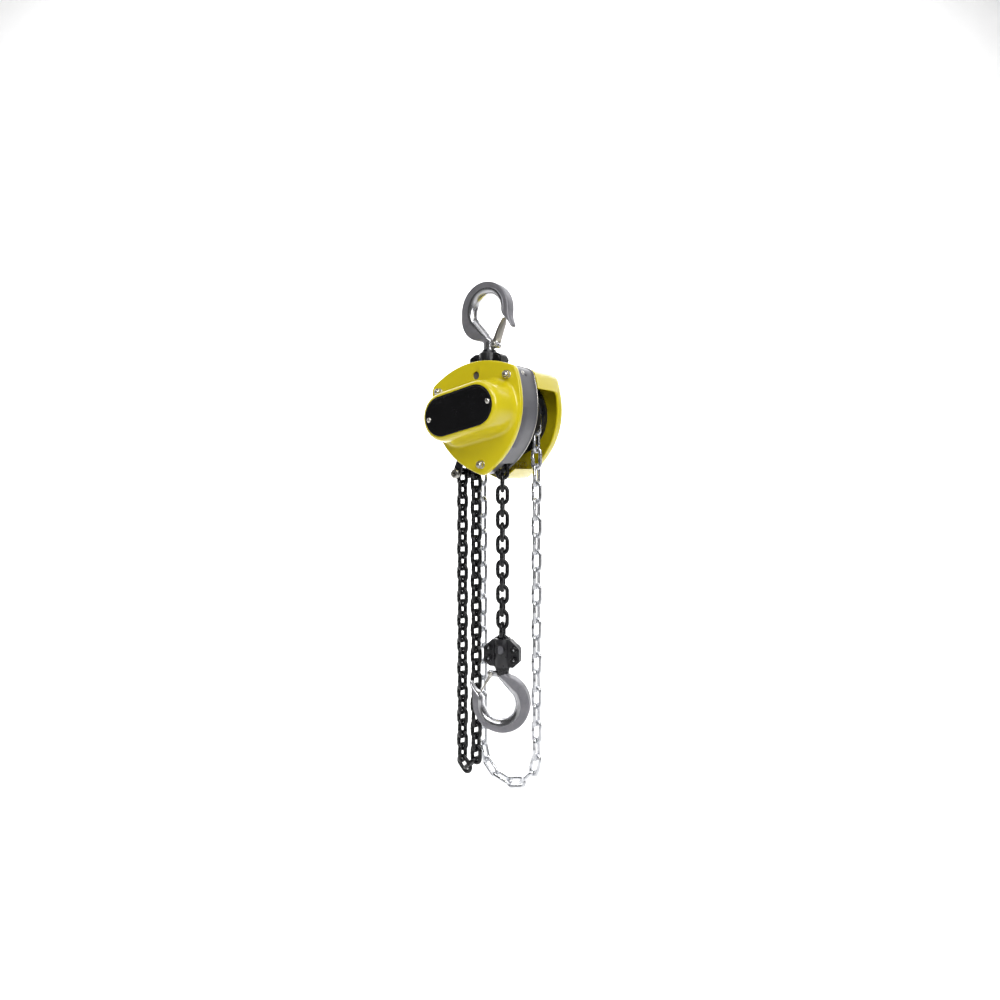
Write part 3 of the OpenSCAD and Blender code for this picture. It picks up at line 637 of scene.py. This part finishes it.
def sockets():
    """Bright steel domes in the block bolts' sockets, painted glints; a black disc in the tail pin's socket,
    painted shade.
    """
    parts = []
    # bright domes at the bottom of the bolt sockets: painted glints
    t = math.radians(15)
    for x in (-16.0, 16.0):
        for z in (-282.0, -294.5):
            o = Vector((LXR + x * math.cos(t) + 7.0 * math.sin(t),
                        x * math.sin(t) - 7.0 * math.cos(t), z - SEAT)) * MM
            parts.append(lathe([(0.02, -0.05), (1.95, -0.05), (1.95, 0.3), (1.5, 0.9), (0.8, 1.25), (0.02, 1.35)],
                               o, (math.sin(t), -math.cos(t), 0), 24))
    place(join("block_bolt_socket_glints", parts), "load_block", [], "zinc_chain")
    o = Vector((LXR + 12.0 * math.sin(t), -12.0 * math.cos(t), BLOCK_Z - SEAT)) * MM
    part = lathe([(0.02, 0.55), (2.2, 0.5), (4.4, 0.35), (5.3, 0.0), (5.5, -0.5), (5.5, -3.4), (4.0, -3.6)],
                 o, (math.sin(t), -math.cos(t), 0), 40)
    place(join("chain_pin_head", [part], 38), "load_block", [], "grey_paint")
    # black disc in the tail pin's bore: painted shade
    o = Vector((TAIL[0], -15.2, TAIL[1] - SEAT)) * MM
    part = lathe([(0.02, -0.05), (1.9, -0.05), (1.9, 0.1), (0.02, 0.15)], o, (0, -1, 0), 24)
    place(join("tail_pin_socket_shade", [part]), "frame", [], "black_paint")
    part = lathe([(5.6, -2.2), (6.1, -2.0), (6.3, -1.4), (6.3, 0.6), (6.0, 1.5), (5.1, 2.2), (3.8, 2.5),
                  (2.5, 2.4), (2.3, 2.0), (2.2, 0.0)], o, (0, -1, 0), 40)
    place(join("tail_pin_face", [part]), "frame", [], "zinc_fastener")


def band_trim():
    """Bright plated wire along the back edge of the body band, a painted highlight of its rolled edge; a rivet on
    its corner, and a black disc beside it as its painted shadow.
    """
    r = out_r(1.0)
    parts = []
    for a0, a1 in ((-58, 63), (117, 211)):
        pts = []
        for k in range(91):
            a = math.radians(a0 + (a1 - a0) * k / 90)
            q = np.interp(a % TAU, np.append(PHI, TAU), np.append(r, r[0]))
            pts.append(Vector((q * math.cos(a), 11.3, q * math.sin(a) - SEAT)))
        # plated wire on the grey paint: a painted highlight along the rolled edge
        parts.append(tube(pts, 0.75, 12))
    place(join("body_edge_painted_highlight", parts, 60), "frame", [], "zinc_fastener")
    n = Vector((0.96, 0.0, 0.28)).normalized()
    o = Vector((55.7, -12.0, 45.3 - SEAT)) * MM
    part = lathe([(0.02, -0.6), (2.6, -0.6), (2.6, 0.1), (2.3, 0.7), (1.5, 1.15), (0.02, 1.35)], o, n, 28)
    place(join("body_rivet", [part], 50), "frame", [], "zinc_fastener")
    # black disc beside the rivet: a painted shadow
    o = Vector((56.6, -5.5, 42.4 - SEAT)) * MM
    n = Vector((0.995, 0.0, 0.1)).normalized()
    part = lathe([(0.02, -0.6), (2.2, -0.6), (2.2, 0.15), (1.9, 0.3), (0.02, 0.3)], o, n, 28)
    place(join("body_rivet_shadow", [part], 50), "frame", [], "black_paint")


# ---------------------------------------------------------------- chains
CL = 0.5


def link_mesh(p, d, w, sides=12):
    """One welded link in the X-Z plane, long along Z, in mm."""
    hl = (p + CL - w) / 2
    rm = (w + d) / 2
    path = []
    for z in (-hl, -hl * 0.5, 0.0, hl * 0.5):
        path.append((rm, z, 1.0, 0.0, 1.0))
    for k in range(11):
        a = math.pi * k / 11
        path.append((rm * math.cos(a), hl + rm * math.sin(a), math.cos(a), math.sin(a), 1.0))
    weld = [(hl, 1.0), (1.5, 1.0), (0.95, 1.075), (0.0, 1.1), (-0.95, 1.075), (-1.5, 1.0)]
    for z, s in weld:
        path.append((-rm, z, -1.0, 0.0, s))
    for k in range(11):
        a = math.pi + math.pi * k / 11
        path.append((rm * math.cos(a), -hl + rm * math.sin(a), math.cos(a), math.sin(a), 1.0))
    vs, fs = [], []
    for x, z, nx, nz, s in path:
        for k in range(sides):
            a = TAU * k / sides
            c = d / 2 * s * math.cos(a)
            vs.append((x + c * nx, d / 2 * s * math.sin(a), z + c * nz))
    m = len(path)
    for i in range(m):
        j = (i + 1) % m
        for k in range(sides):
            k2 = (k + 1) % sides
            fs.append((i * sides + k, j * sides + k, j * sides + k2, i * sides + k2))
    return [Vector(v) for v in vs], fs


def solve(a, b, t, lo, hi):
    for _ in range(60):
        m = (lo + hi) / 2
        if math.degrees(math.atan(a / m) + math.atan(b / math.sqrt(m * m + a * a - b * b))) > t:
            lo = m
        else:
            hi = m
    return (lo + hi) / 2


LP, LD, LW = 15.0, 5.0, 6.6
HP, HD, HW = 21.2, 4.4, 6.0
la, lb = (LP + CL + LD) / 2, (LP - CL - LD) / 2
ha, hb = (HP + CL + HD) / 2, (HP - CL - HD) / 2
L_RF = solve(la, lb, 45, 8, 40)
L_RV = math.sqrt(L_RF ** 2 + la ** 2 - lb ** 2)
H_RF = solve(ha, hb, 30, 20, 80)
H_RV = math.sqrt(H_RF ** 2 + ha ** 2 - hb ** 2)
c22, s22 = math.cos(math.radians(22.5)), math.sin(math.radians(22.5))
c15, s15 = math.cos(math.radians(15)), math.sin(math.radians(15))
LXR, LZR = L_RF * c22 + la * s22, L_RF * s22 - la * c22 - lb
LXL, LZL = -(L_RV * c22 + lb * s22), L_RV * s22 - lb * c22 - la
HXR, HZR = H_RF * c15 + ha * s15, H_RF * s15 - ha * c15 - hb
HXL, HZL = -(H_RV * c15 + hb * s15), H_RV * s15 - hb * c15 - ha
HAND_N, DROP_N, SLACK_N, SLACK_M = 20, 19, 24, 28
H_U = HZR + HZL - (HAND_N - 1) * HP
TAIL = (-40.8, -72.5)
BLOCK_Z = -282
TAIL_LINK = TAIL[1] - (LP + CL) / 2 + 3.2 + 0.05
c45 = math.sqrt(0.5)
TURN_Z = TAIL_LINK - (SLACK_N - 1) * LP - (la + lb * c45 - la * c45)
SLACK_S = (LZL - (TURN_Z + lb + la * c45 - lb * c45)) / (SLACK_M - 1)
WHEEL_Y = 44.0


def at(x, y, z):
    return Matrix.Translation(Vector((x, y, z - SEAT)))


def rz(a):
    return Matrix.Rotation(math.radians(a), 4, "Z")


def ry(a):
    return Matrix.Rotation(math.radians(-a), 4, "Y")


def chain_obj(name, base, mats):
    vs, fs = base
    parts = []
    for m in mats:
        parts.append(([(m @ v) * MM for v in vs], fs))
    return join(name, parts, 60)


def chains():
    L = link_mesh(LP, LD, LW)
    H = link_mesh(HP, HD, HW)
    flat = lambda k: rz(90 if k % 2 else 0)
    tw = lambda k: 0 if k < 2 else 32 * (k - 1) / 3 if k < 4 else 32 - (32 - 15) * (k - 4) / 14
    mats = [at(LXR, 0, LZR - LP * k) @ rz(tw(k)) @ flat(k) for k in range(DROP_N)]
    place(chain_obj("load_chain_drop_links", L, mats), "load_block", ["load_chain_drop"], "black_chain")
    mats = [at(LXL, 0, LZL - SLACK_S * k) @ flat(k + 1) for k in range(2, SLACK_M)]
    mats += [at(TAIL[0], 0, TAIL_LINK - LP * k) @ flat(k) for k in range(SLACK_N)]
    tx = (LXL + TAIL[0]) / 2
    up = Matrix.Translation(Vector((tx, 0, TURN_Z - SEAT)))
    mats += [up @ ry(-45) @ Matrix.Translation((lb, 0, 0)) @ flat(1),
             up @ ry(-135) @ Matrix.Translation((la, 0, 0)) @ flat(0)]
    place(chain_obj("load_chain_slack_links", L, mats), "frame", ["load_chain_slack"], "black_chain")
    hub = at(0, 0, 0)
    mats = [hub @ ry(22.5 + 45 * k) @ Matrix.Translation((L_RV if k % 2 else L_RF, 0, 0)) @ flat(k + 1)
            for k in range(4)]
    mats += [at(LXL, 0, LZL - SLACK_S * k) @ flat(k + 1) for k in range(2)]
    place(chain_obj("load_chain_wrap_links", L, mats), "frame", ["load_chain_wrap"], "black_chain")

    def runs(k0, k1):
        out = []
        for k in range(k0, k1):
            out.append(at(HXR, WHEEL_Y, HZR - HP * k) @ flat(k))
            out.append(at(HXL, WHEEL_Y, HZL - HP * k) @ flat(k + 1))
        return out

    half = [ry(15 + 30 * k) @ Matrix.Translation((H_RV if k % 2 else H_RF, 0, 0)) @ flat(k + 1)
            for k in range(6)]
    mats = runs(2, HAND_N) + [at(0, WHEEL_Y, H_U) @ ry(180) @ m for m in half]
    place(chain_obj("hand_chain_links", H, mats), "frame", ["hand_chain"], "zinc_chain")
    mats = runs(0, 2) + [at(0, WHEEL_Y, 0) @ m for m in half]
    place(chain_obj("hand_chain_wrap_links", H, mats), "frame", ["hand_chain_wrap"], "zinc_chain")


# ---------------------------------------------------------------- hooks
def hook_section(w, h, a, n, b):
    """Forged section from the inner edge (0) to the outer edge (w): a round bead on
    the inside over a depth a, standing b into the throat and a little proud of the
    flats, squarer on the outside as n grows. 40 points, the first 17 on the bead."""
    up, flat = 1.0 + 0.055 * b, 1.0 - 0.035 * b
    pts = []
    for k in range(17):
        t = math.radians(-90 + 180 * k / 16)
        pts.append((a - (a + b) * math.cos(t), h * up * math.sin(t)))
    q = 0.7 / (w - a)
    edge = (a + 0.7, h * flat * max(0.0, 1 - q ** n) ** (1 / n))
    pts.append(edge)
    for k in range(1, 22):
        t = math.radians(90 - 180 * k / 22)
        c, s = abs(math.cos(t)) ** (2 / n), abs(math.sin(t)) ** (2 / n)
        pts.append((a + (w - a) * max(c, q), math.copysign(h * flat * s, math.sin(t))))
    pts.append((edge[0], -edge[1]))
    return pts


def smooth_path(pts, n):
    """Points along a centripetal spline through pts (rows of numbers)."""
    p = np.array(pts, dtype=float)
    d = np.hypot(np.diff(p[:, 0]), np.diff(p[:, 1])) ** 0.5
    s = np.concatenate([[0], np.cumsum(d)])
    m = np.gradient(p, s, axis=0)
    out = []
    for q in np.linspace(0, s[-1], n):
        i = min(int(np.searchsorted(s, q, "right")) - 1, len(s) - 2)
        h = s[i + 1] - s[i]
        u = (q - s[i]) / h
        out.append((2 * u ** 3 - 3 * u ** 2 + 1) * p[i] + (u ** 3 - 2 * u ** 2 + u) * h * m[i]
                   + (-2 * u ** 3 + 3 * u ** 2) * p[i + 1] + (u ** 3 - u ** 2) * h * m[i + 1])
    return np.array(out)


def arc(cx, cz, r, a0, a1, n):
    return [(cx + r * math.cos(math.radians(a0 + (a1 - a0) * k / n)),
             cz + r * math.sin(math.radians(a0 + (a1 - a0) * k / n))) for k in range(n + 1)]


def reach(a, cx, cz, r):
    """Distance from the origin to a circle's far side, in direction a."""
    d = cx * math.cos(a) + cz * math.sin(a)
    return d + math.sqrt(max(0.0, d * d - cx * cx - cz * cz + r * r))


def back_edge(a, heel):
    """Distance from the bowl centre to the hook's back, in direction a."""
    t = reach(a, -2.6, 0.0, 34.8)
    if heel:
        t = max(t, reach(a, -9.4, -8.9, heel))
    return t


# inner x z, outer x z, half thickness, depth of the inner bead, squareness, share of BEAD
HOOK_NECK = {
    "top": [(7.0, -38.6, -8.0, -38.4, 7.3, 6.5, 2.6, 0.0), (6.2, -35.9, -13.3, -36.6, 7.9, 5.4, 5.0, 0.0),
            (2.0, -31.0, -19.4, -35.0, 8.0, 6.0, 9.0, 0.2), (-2.5, -26.2, -24.2, -32.6, 8.0, 6.3, 10.0, 0.45),
            (-7.2, -21.2, -28.1, -29.7, 8.0, 6.5, 10.0, 0.7), (-11.9, -16.2, -31.2, -26.5, 8.0, 6.5, 10.0, 0.9)],
    "low": [(3.5, -36.2, -10.9, -36.0, 7.2, 6.5, 2.6, 0.0), (3.2, -33.6, -13.5, -33.0, 7.8, 5.6, 5.0, 0.0),
            (1.2, -30.2, -18.6, -30.9, 8.0, 6.0, 9.0, 0.3), (-3.0, -25.7, -22.9, -28.2, 8.0, 6.3, 10.0, 0.65),
            (-7.6, -20.8, -26.6, -25.2, 8.0, 6.5, 10.0, 0.9), (-12.1, -16.0, -29.4, -22.2, 8.0, 6.5, 10.0, 1.0)]}
HOOK_TIP = [(20.6, -5.0, 32.2, -7.0, 7.6, 4.5, 6.0, 0.65), (22.2, -8.9, 32.9, -11.5, 7.2, 4.2, 4.0, 0.25),
            (25.4, -12.3, 34.2, -15.0, 6.7, 3.8, 3.0, 0.05), (28.4, -15.6, 35.4, -18.0, 6.3, 3.2, 2.5, 0.0),
            (30.9, -19.2, 36.3, -20.6, 6.0, 2.6, 2.3, 0.0), (32.2, -21.7, 36.7, -22.3, 5.5, 2.2, 2.2, 0.0),
            (33.1, -23.2, 36.3, -23.5, 4.2, 1.6, 2.1, 0.0), (33.9, -24.1, 35.5, -24.2, 2.4, 0.8, 2.0, 0.0)]
BEAD = 1.1


def compact(vs, fs):
    """The faces with only the points they use."""
    used = sorted({i for f in fs for i in f})
    to = {i: k for k, i in enumerate(used)}
    return [vs[i] for i in used], [tuple(to[i] for i in f) for f in fs]


def hook_mesh(name, kind, heel, e, shank_z, r_shank, r_nut, lug, frame_of):
    """Forged hook: shank with collar at x = e, neck, bowl, tip and latch lug; the inner bead faces and the lug
    come back as a second object, for a brighter steel that is a painted highlight.
    """
    H = 8.0
    st = []

    def rnd(r, z):
        st.append((e + r, z, e - r, z, r, r, 2.0, 0.0))

    neck = HOOK_NECK[kind]
    rnd(r_nut * 0.93, shank_z)
    rnd(r_nut, shank_z + 0.6)
    rnd(r_nut, shank_z + 5.4)
    rnd(r_nut * 0.93, shank_z + 6.0)
    rnd(r_shank, shank_z + 6.0)
    rnd(r_shank, shank_z + 6.4)
    rnd(r_shank, neck[0][1] - 2.2)
    a0 = math.radians(214.4)
    t0 = back_edge(a0, heel)
    path = [st[-1]] + neck + [(20 * math.cos(a0), 20 * math.sin(a0), t0 * math.cos(a0),
                               t0 * math.sin(a0), H, 6.5, 10.0, 1.0)]
    st += list(map(tuple, smooth_path(path, 36)))[1:]
    # bowl: inner circle about the origin, back off centre
    for k in range(1, 45):
        a = math.radians(214.4 - (214.4 + 4.0) * k / 44)
        ux, uz = math.cos(a), math.sin(a)
        t = back_edge(a, heel)
        end = max(0.0, (k - 32) / 12)
        st.append((20 * ux, 20 * uz, t * ux, t * uz, H * (1 - 0.03 * end), 6.5 - 1.6 * end,
                   10.0 - 3.0 * end, 1.0 - 0.2 * end))
    st += list(map(tuple, smooth_path([st[-1]] + HOOK_TIP, 28)))[1:]
    rings = []
    for ix, iz, ox, oz, h, depth, sq, bead in st:
        w = math.hypot(ox - ix, oz - iz)
        ux, uz = (ox - ix) / w, (oz - iz) / w
        rings.append([frame_of @ (Vector((ix + ux * u, v, iz + uz * u))) * MM
                      for u, v in hook_section(w, h, min(depth, w * 0.5), sq, BEAD * max(0.0, bead))])
    n = len(rings[0])
    vs = [p for r in rings for p in r]
    # lit and shaded copies of one forging: faces on the inner bead go to a second object in brighter steel, a
    # painted highlight; the rest keeps the darker forged finish
    fs, highlight_faces = [], []
    for i in range(len(rings) - 1):
        for k in range(n):
            k2 = (k + 1) % n
            to = highlight_faces if k < 16 else fs
            to.append((i * n + k, i * n + k2, (i + 1) * n + k2, (i + 1) * n + k))
    fs.append(tuple(range(n - 1, -1, -1)))
    fs.append(tuple((len(rings) - 1) * n + k for k in range(n)))
    # lug for the latch pin
    x, z = lug
    prof = [(e + 3.0, z + 3.6)] + arc(x, z, 4.0, 90, -90, 14) + [(e + 3.0, z - 4.0)]
    # second object: bead faces and latch lug, the painted highlight
    parts = [compact(vs, highlight_faces), slab(prof, -2.2, 2.2, 0.5, frame_of)]
    return join(name + "_forging", [compact(vs, fs)], 38), join(name + "_painted_highlight", parts, 38)


def slab(prof, y0, y1, edge, frame_of):
    """Plate with softened edges from an outline in X and Z."""
    p = np.array(prof)
    c = p.mean(axis=0)

    def inset(d):
        q = p - c
        l = np.hypot(q[:, 0], q[:, 1])[:, None]
        return c + q * np.maximum(0.0, 1 - d / np.maximum(l, 1e-6))
    put = frame_of if callable(frame_of) else (lambda a, y, b: frame_of @ Vector((a, y, b)))
    levels = [(y0, edge), (y0 + edge * 0.3, edge * 0.3), (y0 + edge, 0.0),
              (y1 - edge, 0.0), (y1 - edge * 0.3, edge * 0.3), (y1, edge)]
    vs, fs = [], []
    n = len(p)
    for y, d in levels:
        for a, b in inset(d):
            vs.append(put(a, y, b) * MM)
    for i in range(len(levels) - 1):
        for k in range(n):
            k2 = (k + 1) % n
            fs.append((i * n + k, i * n + k2, (i + 1) * n + k2, (i + 1) * n + k))
    fs.append(tuple(range(n - 1, -1, -1)))
    fs.append(tuple((len(levels) - 1) * n + k for k in range(n)))
    return vs, fs


def tube(pts, r, sides=10):
    """Round wire along points (Vectors in mm already placed)."""
    n = len(pts)
    vs, fs = [], []
    ref = Vector((0.3, 0.5, 0.8)).normalized()
    for i in range(n):
        t = (pts[min(i + 1, n - 1)] - pts[max(i - 1, 0)]).normalized()
        a = (ref - t * ref.dot(t)).normalized()
        b = t.cross(a)
        ref = a
        for k in range(sides):
            q = TAU * k / sides
            vs.append((pts[i] + (a * math.cos(q) + b * math.sin(q)) * r) * MM)
    for i in range(n - 1):
        for k in range(sides):
            k2 = (k + 1) % sides
            fs.append((i * sides + k, i * sides + k2, (i + 1) * sides + k2, (i + 1) * sides + k))
    fs.append(tuple(range(sides - 1, -1, -1)))
    fs.append(tuple((n - 1) * sides + k for k in range(sides)))
    return vs, fs


LATCH_TIP = (22.6, -10.8)


def latch(name, body, lug, node, frame_of):
    """Pressed latch: web across the throat, two cheeks on the pin."""
    dx, dz = LATCH_TIP[0] - lug[0], LATCH_TIP[1] - lug[1]
    l = math.hypot(dx, dz)
    ca, sa = dx / l, dz / l

    def sn(s, n, y):
        return frame_of @ Vector((lug[0] + s * ca - n * sa, y, lug[1] + s * sa + n * ca))

    half = [(4.6, 5.2), (9.0, 5.8), (l * 0.5, 6.2), (l - 9, 6.0), (l - 5, 5.3), (l - 2, 4.2),
            (l - 0.4, 2.4)]
    web = [(a, -b) for a, b in half] + [(l, 0.0)] + half[::-1]
    parts = [slab(web, -1.1, 0.5, 0.3, lambda a, n, b: sn(a, n, b))]
    cheek = arc(0, 0, 3.6, 250, 100, 16) + [(l - 16, 2.0), (l - 9, 0.7), (l - 7, 0.2),
                                            (l - 7, -0.9), (3.0, -1.1)]
    for y in (-6.2, 4.7):
        parts.append(slab(cheek, y, y + 1.5, 0.3, lambda a, yy, b: sn(a, b, yy)))
    o = join(name + "_pressing", parts, 38)
    place(o, body, [node], "latch_steel")
    return sn


def latch_spring(name, body, lug, node, frame_of):
    """Torsion spring on the latch pin: two coils, one on each side."""
    parts = []
    for side in (-1, 1):
        pts = []
        for k in range(0, 61):
            a = math.radians(60 + 12 * k * side)
            y = side * (2.8 + 1.5 * k / 60)
            pts.append(frame_of @ Vector((lug[0] + 3.15 * math.cos(a), y, lug[1] + 3.15 * math.sin(a))))
        parts.append(tube(pts, 0.6))
    return place(join(name + "_wire", parts, 60), body, [node], "zinc_chain")


def latch_pin(name, body, lug, node, frame_of):
    o = frame_of @ Vector((lug[0], 0, lug[1])) * MM
    ax = (frame_of @ Vector((0, 1, 0)) - frame_of @ Vector((0, 0, 0)))
    prof = [(0.02, -7.6), (1.9, -7.6), (2.6, -7.4), (3.0, -7.0), (3.0, -6.65), (2.0, -6.6),
            (2.0, 6.6), (3.0, 6.65), (3.0, 7.0), (2.6, 7.4), (1.9, 7.6), (0.02, 7.6)]
    return place(join(name + "_rivet", [lathe(prof, o, ax, 28)], 38), body, [node], "zinc_fastener")


TOP = Matrix.Identity(4)
LOW_E = -3.5
LOW = (Matrix.Translation(Vector((LXR, 0, -348.0 - SEAT))) @ rz(24)
       @ Matrix.Translation((LOW_E, 0, 0)) @ Matrix.Rotation(math.pi, 4, "Y"))
TOP_LUG, LOW_LUG = (10.8, -43.0), (11.0, -34.5)


def hooks():
    o, bead = hook_mesh("top_hook", "top", 28.0, 0.0, -71.0, 7.0, 9.2, TOP_LUG, TOP)
    place(o, "top_hook", ["top_hook"], "forged_zinc")
    # brighter steel on the bead and lug: a painted highlight
    place(bead, "top_hook", [], "machined_steel")
    latch("top_latch", "top_latch", TOP_LUG, "top_latch", TOP)
    latch_spring("top_latch_spring", "top_hook", TOP_LUG, "top_latch_spring", TOP)
    latch_pin("top_latch_pin", "top_hook", TOP_LUG, "top_latch_pin", TOP)
    o, bead = hook_mesh("bottom_hook", "low", 0.0, LOW_E, -53.7, 7.0, 8.3, LOW_LUG, LOW)
    place(o, "bottom_hook", ["bottom_hook"], "forged_zinc")
    # brighter steel on the bead and lug: a painted highlight
    place(bead, "bottom_hook", [], "machined_steel")
    # black sleeve over the bottom hook's neck: painted shade under the block
    o = LOW @ Vector((LOW_E, 0, -43.2)) * MM
    part = lathe([(6.9, 0.0), (9.2, 0.0), (9.3, 0.5), (8.4, 4.0), (7.6, 8.0), (7.35, 8.6), (6.9, 8.7)],
                 o, (0, 0, -1), 40)
    place(join("bottom_hook_neck_shade", [part], 38), "bottom_hook", [], "black_chain")
    latch("bottom_latch", "bottom_latch", LOW_LUG, "bottom_latch", LOW)
    latch_spring("bottom_latch_spring", "bottom_hook", LOW_LUG, "bottom_latch_spring", LOW)
    latch_pin("bottom_latch_pin", "bottom_hook", LOW_LUG, "bottom_latch_pin", LOW)


gear_cover()
rear_cover()
body_shell()
gear_side_plate()
rating_plate()
fasteners()
chains()
hooks()
sockets()
band_trim()


# ---------------------------------------------------------------- the other parts
SLOT_OF = {s["node"]: s["material_slot"] for s in frame["record"]["subparts"]} \
    if isinstance(frame["record"].get("subparts"), list) else {}


def dress(name, width):
    o = NODES[name]
    if o.hide_render:
        return
    slot = SLOT_OF.get(name, "machined_steel")
    o.data.materials.clear()
    o.data.materials.append(M[slot])
    w = o.modifiers.new("weld", "WELD")
    w.merge_threshold = 1e-6
    b = o.modifiers.new("edges", "BEVEL")
    b.width = width * MM
    b.segments = 2
    b.limit_method = "ANGLE"
    b.angle_limit = math.radians(38)
    b.harden_normals = True


SOFT = {"top_yoke_front": 0.9, "top_yoke_rear": 0.9, "bottom_yoke_front": 0.8,
        "bottom_yoke_rear": 0.8, "hand_wheel": 0.6, "load_sheave": 0.5, "chain_guide": 0.5}
for node_name in sorted(NODES):
    dress(node_name, SOFT.get(node_name, 0.25))


# ---------------------------------------------------------------- floor, light
def stage_material():
    t = Tree("studio_floor")
    t.set(Base_Color=t.mix(t.span(t.noise(3, 3), 0.3, 0.7), (0.83, 0.83, 0.83), (0.86, 0.86, 0.86)),
          Roughness=t.span(t.noise(60, 3), 0.3, 0.7, 0.72, 0.85))
    t.bump(t.noise(400, 2), 0.05, 0.0004)
    return t.mat


def floor():
    """Floor well below the hanging part, swept up into a wall far behind it."""
    z0, n = -0.80, 24
    prof = [(-6.0, 0.0), (2.0, 0.0)]
    prof += [(2.0 + 1.5 * math.sin(a), 1.5 - 1.5 * math.cos(a))
             for a in [math.pi / 2 * k / n for k in range(1, n + 1)]]
    prof += [(3.5, 6.0)]
    d = Vector((look.x, look.y, 0)).normalized()
    side = Vector((d.y, -d.x, 0))
    vs, fs = [], []
    for y, z in prof:
        for s in (-9.0, 9.0):
            p = d * y + side * s
            vs.append((p.x, p.y, z0 + z))
    for i in range(len(prof) - 1):
        fs.append((2 * i, 2 * i + 1, 2 * i + 3, 2 * i + 2))
    o = obj_from("studio_sweep", vs, fs, 60)
    o.data.materials.append(stage_material())


def area(name, loc, target, size, power, colour=(1, 1, 1)):
    l = bpy.data.lights.new(name, "AREA")
    l.shape = "RECTANGLE"
    l.size, l.size_y = size
    l.energy = power
    l.color = colour
    o = bpy.data.objects.new(name, l)
    o.location = loc
    o.rotation_euler = (Vector(target) - Vector(loc)).to_track_quat("-Z", "Y").to_euler()
    bpy.context.scene.collection.objects.link(o)
    return o


floor()
mid = (0.0, 0.0, -0.2)
area("key", (1.5, -0.9, 0.7), mid, (0.8, 1.3), 22)
area("front", (0.6, -1.5, 1.2), mid, (0.9, 0.7), 13)
area("top", (0.1, -0.1, 1.5), mid, (1.2, 1.2), 7.5)
area("left", (-1.5, 0.2, 0.2), mid, (0.7, 1.4), 6)
area("rear", (0.4, 1.5, 0.7), mid, (1.4, 1.2), 5)
back = Vector((look.x, look.y, 0)).normalized()
across = Vector((back.y, -back.x, 0))
for i, sx in enumerate((-1.3, 1.3)):
    p = back * 1.3 + across * sx
    q = back * 3.3 + across * sx * 0.8
    area("backdrop_%d" % i, (p.x, p.y, 1.9), (q.x, q.y, 0.55), (2.6, 1.4), 150)

world = bpy.data.worlds.new("studio")
world.use_nodes = True
bg = world.node_tree.nodes["Background"]
bg.inputs["Color"].default_value = (1.0, 1.0, 1.0, 1.0)
bg.inputs["Strength"].default_value = 0.10
bpy.context.scene.world = world
bpy.context.scene.view_settings.view_transform = "Standard"
bpy.context.scene.view_settings.look = "None"
